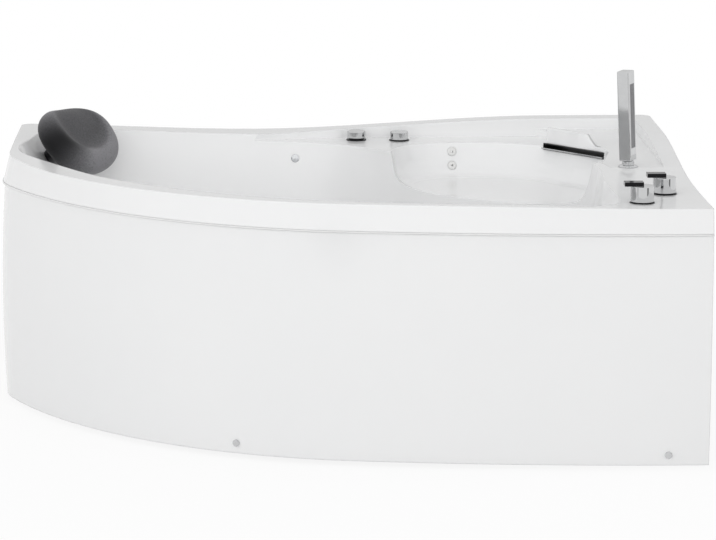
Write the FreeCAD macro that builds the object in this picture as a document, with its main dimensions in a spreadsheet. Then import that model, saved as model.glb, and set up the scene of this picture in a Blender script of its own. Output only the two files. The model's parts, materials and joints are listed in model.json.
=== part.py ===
import FreeCAD, Part
import math
import os

import Sketcher
from FreeCAD import Placement, Rotation, Vector

# Jetted corner bath. Millimetres, +X to the right along the back wall, +Y to the back wall, +Z up,
# with the origin on the floor under the middle of the plan.

SIZES = {
    # Plan of the tub: three tangent arcs make the bowed front, from the right end round to the left end
    "overall_length": 1600,
    "overall_depth": 1130,
    "front_turn": 9,
    "bow_turn": 65,
    "end_radius": 210,
    "end_straight": 378,
    "wall_corner_radius": 25,
    # Rim and lip
    "rim_height": 586,
    "lip_depth": 58,
    "lip_inset": 8,
    "lip_draft": 14,
    "sheet": 6,
    "seat_recess": 1,
    "corner_rise": 30,
    "head_rise": 16,
    "deck_dip": 8,
    "front_rim_left": 55,
    "front_rim_right": 24,
    "end_rim": 40,
    "back_rim": 48,
    "deck_width": 194,
    # Basin, seat, ledge and corner shelf
    "basin_middle": 605,
    "floor_height": 150,
    "head_run": 238,
    "wall_run": 130,
    "floor_rounding": 110,
    "seat_drop": 96,
    "seat_run": 14,
    "seat_rounding": 40,
    "ledge_drop": 16,
    "shelf_lift": 2,
    # Apron panel
    "apron_thickness": 5,
    "apron_top_inset": 11,
    "apron_foot_inset": 5,
    "apron_lift": 12,
    "apron_gap": 2,
    "left_screw_place": 590,
    "right_screw_place": 1512,
    "apron_screw_height": 36,
    "apron_screw_radius": 3,
    "apron_screw_length": 34,
    "apron_cap_radius": 8,
    "apron_cap_depth": 3,
    "bracket_width": 40,
    "bracket_sheet": 3,
    # Underframe and feet
    "tube_side": 30,
    "tube_wall": 2,
    "rail_wall_gap": 10,
    "rail_end_gap": 60,
    "left_bar_place": 572,
    "middle_bar_place": 930,
    "right_bar_place": 1488,
    "bar_front_gap": 75,
    "middle_rail_place": 565,
    "board_thickness": 12,
    "board_width": 340,
    "foot_pad_radius": 25,
    "foot_pad_height": 9,
    "stud_radius": 6,
    "stud_reach": 24,
    "nut_radius": 11,
    "nut_height": 8,
    "foot_end_gap": 32,
    "bar_foot_gap": 79,
    "running_gap": 0.05,
    "seat_gap": 0.3,
    # Jets and the ring main
    "jet_height": 365,
    "jet_flange_radius": 32,
    "jet_flange_height": 5,
    "jet_ball_radius": 16,
    "jet_ball_drop": 6,
    "jet_neck_radius": 22,
    "jet_depth": 38,
    "jet_bore_radius": 5,
    "hose_radius": 9,
    "main_radius": 16,
    "main_wall": 2,
    "main_front_inset": 34,
    "main_bend": 50,
    "main_rise": 5,
    "seat_jet_radius": 11,
    "light_radius": 10,
    # Suction, drain and overflow
    "suction_height": 235,
    "suction_radius": 45,
    "suction_pipe_radius": 24,
    "drain_right": 470,
    "drain_back": 695,
    "drain_flange_radius": 36,
    "drain_throat_radius": 24,
    "drain_depth": 34,
    "plug_radius": 30,
    "plug_height": 7,
    "plug_stem_radius": 4,
    "trap_radius": 42,
    "trap_floor": 22,
    "waste_radius": 20,
    "waste_height": 46,
    "waste_collar": 40,
    "overflow_drop": 81,
    "overflow_right": 400,
    "overflow_radius": 34,
    "overflow_pipe_radius": 16,
    # Pump
    "pump_right": 330,
    "pump_back": 128,
    "pump_axis_lift": 95,
    "plate_thickness": 6,
    "motor_radius": 62,
    "motor_length": 170,
    "motor_wall": 5,
    "shaft_radius": 8,
    "bearing_width": 12,
    "bearing_radius": 18,
    "volute_radius": 78,
    "volute_width": 62,
    "volute_wall": 6,
    "impeller_radius": 58,
    "fan_radius": 52,
    "fan_width": 14,
    "fan_cover_depth": 42,
    # Fittings on the rim
    "knob_radius": 22.5,
    "knob_height": 20,
    "knob_flange_radius": 25,
    "knob_flange_height": 4,
    "fitting_stem_radius": 15,
    "fitting_stem_depth": 46,
    "button_travel": 3,
    "button_right": 740,
    "button_back": 82,
    "regulator_right": 634,
    "regulator_back": 92,
    "tap_radius": 26,
    "tap_height": 35,
    "tap_flange_radius": 28,
    "lever_length": 42,
    "lever_overhang": 14,
    "lever_width": 26,
    "lever_thickness": 9,
    "spindle_radius": 7,
    "tap_depth": 72,
    "inlet_radius": 10.4,
    "inlet_length": 22,
    "front_tap_right": 145,
    "front_tap_front": 110,
    "back_tap_right": 80,
    "back_tap_front": 230,
    "shower_right": 125,
    "shower_back": 600,
    "shower_lean": 2.5,
    "shower_turn": 30,
    "shower_width": 34,
    "shower_thickness": 30,
    "shower_length": 210,
    "shower_neck_radius": 9,
    "shower_neck_length": 44,
    "shower_socket_radius": 22.5,
    "shower_socket_height": 16,
    # Waterfall spout
    "spout_length": 204,
    "spout_opening": 16,
    "spout_drop": 16,
    "spout_wall": 2,
    "spout_depth": 40,
    "spout_lip_reach": 9,
    "feed_radius": 9,
    "feed_drop": 62,
    "feed_bend": 24,
    # Headrest pillow
    "pillow_left": 162,
    "pillow_back": 197,
    "pillow_drop": 4,
    "pillow_turn": 35,
    "pillow_tilt": 33,
    "pillow_width": 234,
    "pillow_length": 178,
    "pillow_thickness": 60,
    "pillow_neck_width": 105,
    "pillow_dish": 24,
    "peg_radius": 6,
    "peg_depth": 18,
    "peg_spacing": 64,
    # Control box
    "box_width": 150,
    "box_depth": 58,
    "box_tall": 190,
    "box_lift": 330,
    "gland_radius": 9,
    "gland_length": 20,
}

# Length and depth of the tub that the plan's points are drawn on; the plan stretches with the real ones
DRAWN_LENGTH = 1600
DRAWN_DEPTH = 1130
# Back edge of the basin: from the seat's right end, along the seat's front and the ledge's front, to the
# head end. Each point is a distance from the right wall and one from the back wall.
BASIN_BACK_EDGE = (
    (350, 535), (430, 495), (520, 435), (600, 355), (668, 262), (735, 190), (820, 130), (930, 96), (1060, 76),
)
# Edge of the seat's lobe, from the front left round by the front, the spout face and the back
SEAT_EDGE = (
    (630, 385), (520, 525), (350, 605), (200, 575), (160, 455), (150, 350), (210, 277), (270, 203),
    (335, 158), (430, 133), (530, 133), (615, 165), (660, 235),
)
# Corners of the ledge and of the corner shelf; their inner corners lie over the basin and the lobe
LEDGE_CORNERS = ((1060, 100), (770, 48), (290, 48), (235, 110), (300, 250), (640, 330))
SHELF_CORNERS = ((300, 48), (300, 150), (160, 330), (190, 560), (160, 625), (43, 625), (43, 48))
# Jets along the front and back walls, and the small fittings on the far wall and the lobe
FRONT_JETS = (1180, 890, 610)
BACK_JETS = (1280, 1080, 880)
SEAT_JET_DROPS = (38, 72)
SEAT_JET_RIGHT = 505
LIGHT_RIGHT = 893
LIGHT_DROP = 56


class Size:
    """A number that keeps the formula it came from, so that it can drive a property by expression."""

    def __init__(self, value, text):
        self.value = float(value)
        self.text = text

    def __float__(self):
        return self.value

    def joined(self, sign, value, other, swapped=False):
        text = other.text if isinstance(other, Size) else repr(float(other))
        pair = (text, self.text) if swapped else (self.text, text)
        return Size(value, f"({pair[0]} {sign} {pair[1]})")

    def __add__(self, other):
        return self.joined("+", self.value + float(other), other)

    def __radd__(self, other):
        return self.joined("+", float(other) + self.value, other, True)

    def __sub__(self, other):
        return self.joined("-", self.value - float(other), other)

    def __rsub__(self, other):
        return self.joined("-", float(other) - self.value, other, True)

    def __mul__(self, other):
        return self.joined("*", self.value * float(other), other)

    __rmul__ = __mul__

    def __truediv__(self, other):
        return self.joined("/", self.value / float(other), other)

    def __neg__(self):
        return self * -1


class Sheet:
    """The document's table of sizes; each size is read by its name."""

    def __init__(self, document, sizes):
        self.cells = document.addObject("Spreadsheet::Sheet", "sizes")
        for row, (alias, value) in enumerate(sizes.items(), start=1):
            self.cells.set(f"A{row}", alias)
            self.cells.set(f"B{row}", str(value))
            self.cells.setAlias(f"B{row}", alias)
        document.recompute()

    def __getattr__(self, alias):
        return Size(self.cells.get(alias), f"sizes.{alias}")


doc = FreeCAD.newDocument("jetted_bathtub")
S = Sheet(doc, SIZES)
PARTS = []

RIGHT = S.overall_length / 2
LEFT = -S.overall_length / 2
BACK = S.overall_depth / 2
FRONT = -S.overall_depth / 2
STRETCH_LONG = S.overall_length / DRAWN_LENGTH
STRETCH_DEEP = S.overall_depth / DRAWN_DEPTH
RIM = float(S.rim_height)
SEAT_LEVEL = S.rim_height - S.seat_drop
LEDGE_LEVEL = S.rim_height - S.ledge_drop
SHELF_LEVEL = S.rim_height + S.shelf_lift
OVER = 120.0
FOOT_STEPS = 6
FOOT_CORNER = 75.0
LIP_BOTTOM = S.rim_height - S.lip_depth
RIM_INSET = S.lip_inset + S.lip_draft
RAIL_BOTTOM = S.floor_height - S.sheet - S.board_thickness - S.tube_side * 2
BAR_BOTTOM = RAIL_BOTTOM + S.tube_side
BAR_TOP = BAR_BOTTOM + S.tube_side
RAIL_Y = BACK - S.rail_wall_gap - S.tube_side / 2


# Helpers that make document objects


def bind(piece, **sizes):
    """Set properties, each by its formula where it has one."""
    for name, value in sizes.items():
        if isinstance(value, Size):
            piece.setExpression(name, value.text)
        else:
            setattr(piece, name, value)


def place(piece, at, turn=None):
    """Put an object at a point whose coordinates may be formulas, turned by a rotation."""
    piece.Placement = Placement(Vector(*(float(value) for value in at)), turn or Rotation())
    for axis, value in zip("xyz", at):
        if isinstance(value, Size):
            piece.setExpression(f"Placement.Base.{axis}", value.text)


def keep(piece, label):
    """Count an object as one of the sub-parts."""
    piece.Label = label
    PARTS.append(piece)
    return piece


def box(name, length, width, height, at):
    """A box with its low corner at a point."""
    piece = doc.addObject("Part::Box", name)
    bind(piece, Length=length, Width=width, Height=height)
    place(piece, at)
    return piece


ALONG_X = Rotation(Vector(0, 1, 0), 90)


def rod(name, radius, length, at, turn=None):
    """A round rod from a point along Z, or along the axis that a rotation gives."""
    piece = doc.addObject("Part::Cylinder", name)
    bind(piece, Radius=radius, Height=length)
    place(piece, at, turn)
    return piece


def joined(name, pieces):
    """Several objects fused."""
    piece = doc.addObject("Part::MultiFuse", name)
    piece.Shapes = pieces
    return piece


def cut(name, base, tools):
    """An object less some others."""
    piece = doc.addObject("Part::Cut", name)
    piece.Base = base
    piece.Tool = tools[0] if len(tools) == 1 else joined(f"{name}_tools", tools)
    return piece


def group(label, pieces):
    """Separate solids that share one node."""
    piece = doc.addObject("Part::Compound", f"{label}_group")
    piece.Links = pieces
    return keep(piece, label)


def solid(label, shape, placement=None):
    """A free-form sub-part."""
    piece = doc.addObject("Part::Feature", f"{label}_solid")
    piece.Shape = shape
    if placement:
        piece.Placement = placement
    return keep(piece, label)


def origin_plane(body, role):
    """One of a body's own base planes."""
    return next(item for item in body.Origin.OriginFeatures if item.Role == role)


def outline(sketch, points):
    """A closed outline of straight lines, each corner held by its two distances from the origin."""
    corners = [Vector(float(x), float(y), 0) for x, y in points]
    count = len(corners)
    for index in range(count):
        sketch.addGeometry(Part.LineSegment(corners[index], corners[(index + 1) % count]), False)
    for index in range(count):
        sketch.addConstraint(Sketcher.Constraint("Coincident", index, 2, (index + 1) % count, 1))
    for index, point in enumerate(points):
        for kind, value in zip(("DistanceX", "DistanceY"), point):
            number = sketch.addConstraint(Sketcher.Constraint(kind, -1, 1, index, 1, float(value)))
            if isinstance(value, Size):
                sketch.setExpression(f"Constraints[{number}]", value.text)


def new_sketch(body, name, role):
    """An empty sketch on one of a body's base planes."""
    sketch = body.newObject("Sketcher::SketchObject", name)
    sketch.AttachmentSupport = (origin_plane(body, role), [""])
    sketch.MapMode = "FlatFace"
    return sketch


def turned(name, profile):
    """A body turned about Z from a closed profile of (radius, height) corners."""
    body = doc.addObject("PartDesign::Body", name)
    sketch = new_sketch(body, f"{name}_profile", "XZ_Plane")
    outline(sketch, profile)
    turn = body.newObject("PartDesign::Revolution", f"{name}_turn")
    turn.Profile = sketch
    turn.ReferenceAxis = (sketch, ["V_Axis"])
    turn.Angle = 360
    return body


# Helpers for free-form shapes


def smooth(share):
    """A soft step from 0 to 1."""
    share = min(max(share, 0.0), 1.0)
    return share * share * (3 - 2 * share)


def from_walls(from_right, from_back, height=0.0):
    """A point drawn on the plan by its distances from the right wall and the back wall."""
    return Vector(RIGHT - from_right * STRETCH_LONG, BACK - from_back * STRETCH_DEEP, height)


def front_arcs():
    """Centre, radius, first and last turn of each arc of the bowed front.

    The two larger radii follow from the overall length and from the depth in front of the straight left end.
    """
    first = math.radians(S.front_turn)
    last = math.radians(S.bow_turn)
    end = float(S.end_radius)
    length = float(S.overall_length) - end * (1 - math.sin(last))
    depth = float(S.overall_depth - S.end_straight * STRETCH_DEEP) - end * math.cos(last)
    bow_length, bow_depth = math.sin(last) - math.sin(first), math.cos(first) - math.cos(last)
    wide_length, wide_depth = math.sin(first), 1 - math.cos(first)
    whole = wide_length * bow_depth - wide_depth * bow_length
    wide = (length * bow_depth - depth * bow_length) / whole
    bow = (wide_length * depth - wide_depth * length) / whole
    centre = Vector(RIGHT, FRONT + wide, 0)
    bow_centre = centre - Vector(math.sin(first), math.cos(first), 0) * (wide - bow)
    end_centre = bow_centre - Vector(math.sin(last), math.cos(last), 0) * (bow - end)
    return (
        (centre, wide, 0.0, first),
        (bow_centre, bow, first, last),
        (end_centre, end, last, math.pi / 2),
    )


ARCS = front_arcs()
END_Y = ARCS[-1][0].y


def on_front(turn, inset, height=0.0):
    """The point of the bowed front where it has turned by an angle, moved in by an inset."""
    for centre, radius, _, last in ARCS:
        if turn <= last + 1e-9:
            point = centre - Vector(math.sin(turn), math.cos(turn), 0) * (radius - float(inset))
            return Vector(point.x, point.y, float(height))
    raise ValueError("the front turns by a quarter circle at most")


def front_turn_at(x, inset):
    """How far the front has turned where it passes an X."""
    for centre, radius, _, last in ARCS:
        turn = math.asin(min(1.0, (centre.x - float(x)) / (radius - float(inset))))
        if turn <= last + 1e-9:
            return turn
    raise ValueError("this X is left of the front")


def front_edges(inset, height, first_turn=0.0):
    """The bowed front as three arcs, from the right end to the left end."""
    edges = []
    for _, _, start, last in ARCS:
        start = max(start, first_turn)
        turns = (start, (start + last) / 2, last)
        edges.append(Part.Arc(*(on_front(turn, inset, height) for turn in turns)).toShape())
    return edges


def bend(corner, before, after, radius):
    """The two ends and the middle of an arc that rounds a corner between two points."""
    to_start = (before - corner).normalize()
    to_end = (after - corner).normalize()
    half = to_start.getAngle(to_end) / 2
    inward = (to_start + to_end).normalize()
    reach = radius / math.tan(half)
    middle = corner + inward * (radius / math.sin(half) - radius)
    return corner + to_start * reach, middle, corner + to_end * reach


def rim_wire(inset, wall_inset, height):
    """The tub's outline at a height: the bowed front and left end by one inset, the wall sides by another."""
    wall_x = float(RIGHT) - wall_inset
    wall_y = float(BACK) - wall_inset
    end_x = float(LEFT) + inset
    radius = float(S.wall_corner_radius)
    arcs = front_edges(inset, height, front_turn_at(wall_x, inset))
    start = arcs[0].Vertexes[0].Point
    end = arcs[-1].Vertexes[-1].Point
    back_left = Vector(end_x, wall_y, height)
    back_right = Vector(wall_x, wall_y, height)
    left_bend = bend(back_left, end, back_right, radius)
    right_bend = bend(back_right, back_left, start, radius)
    return Part.Wire(arcs + [
        Part.makeLine(end, left_bend[0]),
        Part.Arc(*left_bend).toShape(),
        Part.makeLine(left_bend[2], right_bend[0]),
        Part.Arc(*right_bend).toShape(),
        Part.makeLine(right_bend[2], start),
    ])


def rim_level(x, y):
    """Height of the rim at a place: it swells to the back corners and dips along the right-hand deck."""
    from_right = float((RIGHT - x) / STRETCH_LONG)
    from_back = float((BACK - y) / STRETCH_DEEP)
    to_right = smooth((995 - from_right) / 735)
    to_back = smooth((755 - from_back) / 480)
    to_head = smooth((from_right - 995) / 605)
    by_head = smooth((665 - from_back) / 500)
    dip = math.exp(-(((845 - from_back) / 300) ** 2)) * smooth((500 - from_right) / 400)
    rise = float(S.corner_rise) * to_right * to_back + float(S.head_rise) * to_head * by_head
    return RIM + rise - float(S.deck_dip) * dip


def above_rim(drop):
    """Everything over the rim's surface lowered by a drop."""
    margin = 30.0
    columns, rows = 24, 18
    wide = float(S.overall_length) + 2 * margin
    deep = float(S.overall_depth) + 2 * margin
    xs = [float(LEFT) - margin + wide * i / columns for i in range(columns + 1)]
    ys = [float(FRONT) - margin + deep * i / rows for i in range(rows + 1)]
    surface = Part.BSplineSurface()
    surface.interpolate([[Vector(x, y, rim_level(x, y) - drop) for y in ys] for x in xs])
    return surface.toShape().extrude(Vector(0, 0, 3 * OVER))


def rim_block(offset, bottom):
    """The rim with its drafted lip as a full block, shrunk by an offset on its sides and its top."""
    slope = float(S.lip_draft) / float(S.lip_depth)
    wires = []
    for height in (bottom, RIM + OVER):
        inset = float(S.lip_inset) + offset + slope * (height - float(LIP_BOTTOM))
        wires.append(rim_wire(inset, offset, height))
    return Part.makeLoft(wires, True, True).cut(above_rim(offset))


def outward(points, distance):
    """Points of a closed outline, listed anticlockwise, moved out along the outline's normals."""
    moved = []
    for index, point in enumerate(points):
        along = (points[(index + 1) % len(points)] - points[index - 1]).normalize()
        moved.append(point + Vector(along.y, -along.x, 0) * distance)
    return moved


def bowl(edge, centre, runs, floor, rounding, grow=0.0):
    """A bowl as a full solid below a closed edge at rim height.

    The edge is one smooth closed curve. Every level of the wall is that curve drawn in towards the centre, by
    the two runs at floor level, and the foot of the wall is a parabola tangent to wall and floor. grow gives
    the outside of a sheet of that thickness.
    """
    floor = floor - grow
    ring = outward(edge, grow)
    lengths = [0.0]
    for index, point in enumerate(ring):
        lengths.append(lengths[-1] + point.distanceToPoint(ring[(index + 1) % len(ring)]))
    curve = Part.BSplineCurve()
    curve.interpolate(Points=ring, PeriodicFlag=True, Parameters=lengths)
    cuts = [lengths[len(ring) * quarter // 4] for quarter in range(5)]
    quarters = []
    for first, last in zip(cuts, cuts[1:]):
        quarter = curve.copy()
        quarter.segment(first, last)
        quarters.append(quarter)
    reach_x = centre.x - min(point.x for point in edge)
    reach_y = max(point.y for point in edge) - centre.y
    half_x = (max(point.x for point in edge) - min(point.x for point in edge) - runs[0]) / 2
    half_y = (max(point.y for point in edge) - min(point.y for point in edge) - runs[1]) / 2

    def level(point, height, tuck=0.0):
        fall = (RIM - height) / (RIM - floor)
        scale_x = (1 - runs[0] / reach_x * fall) * (1 - tuck / half_x)
        scale_y = (1 - runs[1] / reach_y * fall) * (1 - tuck / half_y)
        x = centre.x + (point.x - centre.x) * scale_x
        y = centre.y + (point.y - centre.y) * scale_y
        return Vector(x, y, height)

    def foot(point, share):
        shoulder = level(point, floor + rounding)
        heel = level(point, floor)
        toe = level(point, floor, rounding)
        return shoulder * (1 - share) ** 2 + heel * (2 * share * (1 - share)) + toe * share ** 2

    def ring_by(move, value):
        edges = []
        for quarter in quarters:
            moved = quarter.copy()
            for index, pole in enumerate(quarter.getPoles(), start=1):
                moved.setPole(index, move(pole, value))
            edges.append(moved.toShape())
        return Part.Wire(edges)

    rings = [ring_by(foot, step / FOOT_STEPS) for step in range(FOOT_STEPS + 1)]
    wall = Part.makeLoft([ring_by(level, RIM + OVER), rings[0]], True, True)
    return wall.fuse(Part.makeLoft(rings, True, False)).Solids[0]


def pocket(corners, floor, grow=0.0):
    """A shallow straight-sided pocket as a full solid, open upwards."""
    points = [from_walls(x, y, floor - grow) for x, y in corners]
    wire = Part.makePolygon(points + points[:1])
    if grow:
        wire = wire.makeOffset2D(grow)
    return Part.Face(wire).extrude(Vector(0, 0, RIM + OVER - floor + grow))


def basin(grow=0.0):
    """The deep basin: head end at the left, foot end at the right front."""
    edge = [Vector(LEFT + RIM_INSET + S.end_rim, BACK - S.end_straight * STRETCH_DEEP * 0.7, 0)]
    edge.append(on_front(math.radians(78), RIM_INSET + S.end_rim))
    turns = (62, 47, 33, 20, 9, 6, 4.2)
    for turn in turns:
        share = (turn - turns[-1]) / (turns[0] - turns[-1])
        width = S.front_rim_right + (S.front_rim_left - S.front_rim_right) * min(1.0, 1.6 * share)
        edge.append(on_front(math.radians(turn), RIM_INSET + width))
    foot = RIGHT - S.deck_width
    front_corner = on_front(front_turn_at(foot - FOOT_CORNER, 0), RIM_INSET + S.front_rim_right)
    for turn in (0, 0.52, 1.05, 1.571):
        edge.append(front_corner + Vector(math.sin(turn), 1 - math.cos(turn), 0) * FOOT_CORNER)
    edge.append(Vector(foot, BACK - STRETCH_DEEP * 730, 0))
    seat_corner = Vector(foot - 60, BACK - STRETCH_DEEP * 615, 0)
    edge += [seat_corner + Vector(60 * math.cos(a), 60 * math.sin(a), 0) for a in (0, 0.65, 1.3)]
    edge += [from_walls(x, y) for x, y in BASIN_BACK_EDGE]
    head = LEFT + RIM_INSET
    edge += [
        Vector(head + STRETCH_LONG * 328, BACK - S.back_rim - 18, 0),
        Vector(head + STRETCH_LONG * 168, BACK - S.back_rim - 30, 0),
        Vector(head + S.end_rim + 28, BACK - S.back_rim - STRETCH_DEEP * 97, 0),
    ]
    runs = (float(S.head_run), float(S.wall_run))
    centre = from_walls(468, S.basin_middle)
    return bowl(edge, centre, runs, float(S.floor_height), float(S.floor_rounding), grow)


def lobe(grow=0.0):
    """The seat's shallow lobe at the back right, open to the basin."""
    edge = [from_walls(x, y) for x, y in SEAT_EDGE]
    runs = (float(S.seat_run), float(S.seat_run))
    return bowl(edge, from_walls(400, 335), runs, float(SEAT_LEVEL), float(S.seat_rounding), grow)


def wall_point(cavity, start, direction):
    """Where a line from inside a cavity last leaves it."""
    inside = Part.makeLine(start, start + direction * 2000).common(cavity)
    return max((v.Point for v in inside.Vertexes), key=lambda p: p.distanceToPoint(start))


def aimed_frame(point, outward):
    """Placement with Z along a direction and X level."""
    level = Vector(0, 0, 1).cross(outward)
    return Placement(point, Rotation(level, Vector(), outward, "ZXY"))


def wall_frame(cavity, start, direction):
    """Placement of a fitting's seat, let into a cavity's wall where a line from inside meets it.

    Z points into the cavity and X lies level.
    """
    point = wall_point(cavity, start, direction)
    face = min(cavity.Faces, key=lambda f: f.distToShape(Part.Vertex(point))[0])
    into = face.normalAt(*face.Surface.parameter(point)) * -1
    if into.dot(direction) > 0:
        into = into * -1
    return aimed_frame(point - into * S.seat_recess, into)


def plug_cutter(frame, hole, face, depth):
    """What a fitting's stem and flange take out of the sheet: a hole, and a flat seat on the wet side."""
    stem = Part.makeCylinder(hole, depth + 20, Vector(0, 0, -depth))
    seat = Part.makeCylinder(face, 40)
    shape = stem.fuse(seat)
    shape.Placement = frame
    return shape


def pipe_path(points, radius):
    """Straight runs through points with each corner rounded by an arc."""
    edges = []
    start = points[0]
    for before, corner, after in zip(points, points[1:], points[2:]):
        ends = bend(corner, before, after, radius)
        edges.append(Part.makeLine(start, ends[0]))
        edges.append(Part.Arc(*ends).toShape())
        start = ends[2]
    edges.append(Part.makeLine(start, points[-1]))
    return Part.Wire(edges)


def swept(path, radius):
    """A round bar along a path."""
    start = path.OrderedEdges[0]
    ring = Part.Circle(start.valueAt(start.FirstParameter), start.tangentAt(start.FirstParameter), radius)
    return path.makePipeShell([Part.Wire([ring.toShape()])], True, False)


def tube(path, radius, wall):
    """A pipe along a path."""
    return swept(path, radius).cut(swept(path, radius - wall))


# Places that several pieces share


def deck_frame(from_right, from_back, radius, ceiling=1e9):
    """A level seat let into the rim: under its lowest point below a flange, or under a pocket's floor."""
    spot = from_walls(from_right, from_back)
    ring = [spot] + [spot + Vector(radius, 0, 0), spot - Vector(radius, 0, 0)]
    ring += [spot + Vector(0, radius, 0), spot - Vector(0, radius, 0)]
    height = min([rim_level(point.x, point.y) for point in ring] + [float(ceiling)])
    return Placement(Vector(spot.x, spot.y, height - S.seat_recess), Rotation())


def apron_inset(height):
    """How far the apron's outer face lies inside the plan at a height: an arc through top, belly and foot."""
    arc = Part.Arc(*apron_profile(0.0)).toShape().Curve
    return arc.Center.x - math.sqrt(arc.Radius ** 2 - (float(height) - arc.Center.y) ** 2)


def apron_profile(depth):
    """Top, belly and foot of the apron's face, as (inset, height), moved in by a depth."""
    top = float(LIP_BOTTOM - S.apron_gap)
    foot = float(S.apron_lift)
    return (
        Vector(S.apron_top_inset + depth, top, 0),
        Vector(depth, (top + foot) / 2, 0),
        Vector(S.apron_foot_inset + depth, foot, 0),
    )


def front_frame(turn, inset, height):
    """Placement on the bowed front: Z straight in, X level, Y up."""
    inward = Vector(math.sin(turn), math.cos(turn), 0)
    level = Vector(0, 0, 1).cross(inward)
    return Placement(on_front(turn, inset, height), Rotation(level, Vector(), inward, "ZXY"))


BASIN = basin()
LOBE = lobe()
BARS = [LEFT + place * STRETCH_LONG for place in (S.left_bar_place, S.middle_bar_place, S.right_bar_place)]
BAR_TURNS = [front_turn_at(x, S.bar_front_gap) for x in BARS]
BAR_FRONTS = [on_front(turn, S.bar_front_gap).y for turn in BAR_TURNS]
PUMP_Y = BACK - S.pump_back
PUMP_Z = BAR_TOP + S.plate_thickness + S.pump_axis_lift
VOLUTE_RIGHT = RIGHT - S.pump_right
VOLUTE_LEFT = VOLUTE_RIGHT - S.volute_width
MOTOR_LEFT = VOLUTE_LEFT - S.motor_length
MAIN_Y = PUMP_Y + S.volute_radius - S.main_radius
DISCHARGE_TOP = PUMP_Z + S.volute_radius + 8
MAIN_Z = DISCHARGE_TOP + S.main_rise + S.main_bend
DRAIN = from_walls(S.drain_right, S.drain_back, S.floor_height)

JET_FRAMES = {}
for number, from_right in enumerate(FRONT_JETS, start=1):
    inside = from_walls(from_right, S.basin_middle, S.jet_height)
    JET_FRAMES[f"front_{number}"] = wall_frame(BASIN, inside, Vector(0, -1, 0))
for number, from_right in enumerate(BACK_JETS, start=1):
    inside = from_walls(from_right, S.basin_middle, S.jet_height)
    JET_FRAMES[f"back_{number}"] = wall_frame(BASIN, inside, Vector(0, 1, 0))
SEAT_JET_FRAMES = [
    wall_frame(LOBE, from_walls(SEAT_JET_RIGHT, 335, RIM - drop), Vector(0, 1, 0)) for drop in SEAT_JET_DROPS
]
LIGHT_FRAME = wall_frame(BASIN, from_walls(LIGHT_RIGHT, S.basin_middle, RIM - LIGHT_DROP), Vector(0, 1, 0))
SUCTION_FRAME = wall_frame(BASIN, from_walls(500, 800, S.suction_height), Vector(1, 0, 0))
OVERFLOW_START = from_walls(S.overflow_right, S.basin_middle, S.rim_height - S.overflow_drop)
OVERFLOW_FRAME = wall_frame(BASIN, OVERFLOW_START, Vector(0, -1, 0))
SPOUT_FRAME = wall_frame(LOBE, from_walls(386, 409, S.rim_height - S.spout_drop), Vector(0.775, 0.632, 0))
PILLOW_TURN = math.radians(S.pillow_turn)
PILLOW_TILT = math.radians(S.pillow_tilt)
PILLOW_OUT = Vector(
    math.cos(PILLOW_TURN) * math.cos(PILLOW_TILT), -math.sin(PILLOW_TURN) * math.cos(PILLOW_TILT),
    math.sin(PILLOW_TILT),
)
PILLOW_MIDDLE = Vector(LEFT + S.pillow_left, BACK - S.pillow_back, S.rim_height - S.pillow_drop)
PILLOW_FRAME = aimed_frame(PILLOW_MIDDLE, PILLOW_OUT)
BUTTON_FRAME = deck_frame(S.button_right, S.button_back, 0.0, LEDGE_LEVEL)
REGULATOR_FRAME = deck_frame(S.regulator_right, S.regulator_back, 0.0, LEDGE_LEVEL)
TAP_PLACES = {
    "front_tap": (S.front_tap_right, DRAWN_DEPTH - S.front_tap_front),
    "back_tap": (S.back_tap_right, DRAWN_DEPTH - S.back_tap_front),
}
TAP_FRAMES = {name: deck_frame(*spot, float(S.tap_flange_radius)) for name, spot in TAP_PLACES.items()}
SHOWER_FRAME = deck_frame(S.shower_right, S.shower_back, float(S.shower_socket_radius), SHELF_LEVEL)


def peg_frame(side):
    """Where a headrest peg goes through the head wall, left or right of the pillow's middle."""
    start = PILLOW_FRAME.multVec(Vector(side * S.peg_spacing / 2, 0, 0))
    return aimed_frame(wall_point(BASIN, start, PILLOW_OUT * -1), PILLOW_OUT)


# The shell


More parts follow.
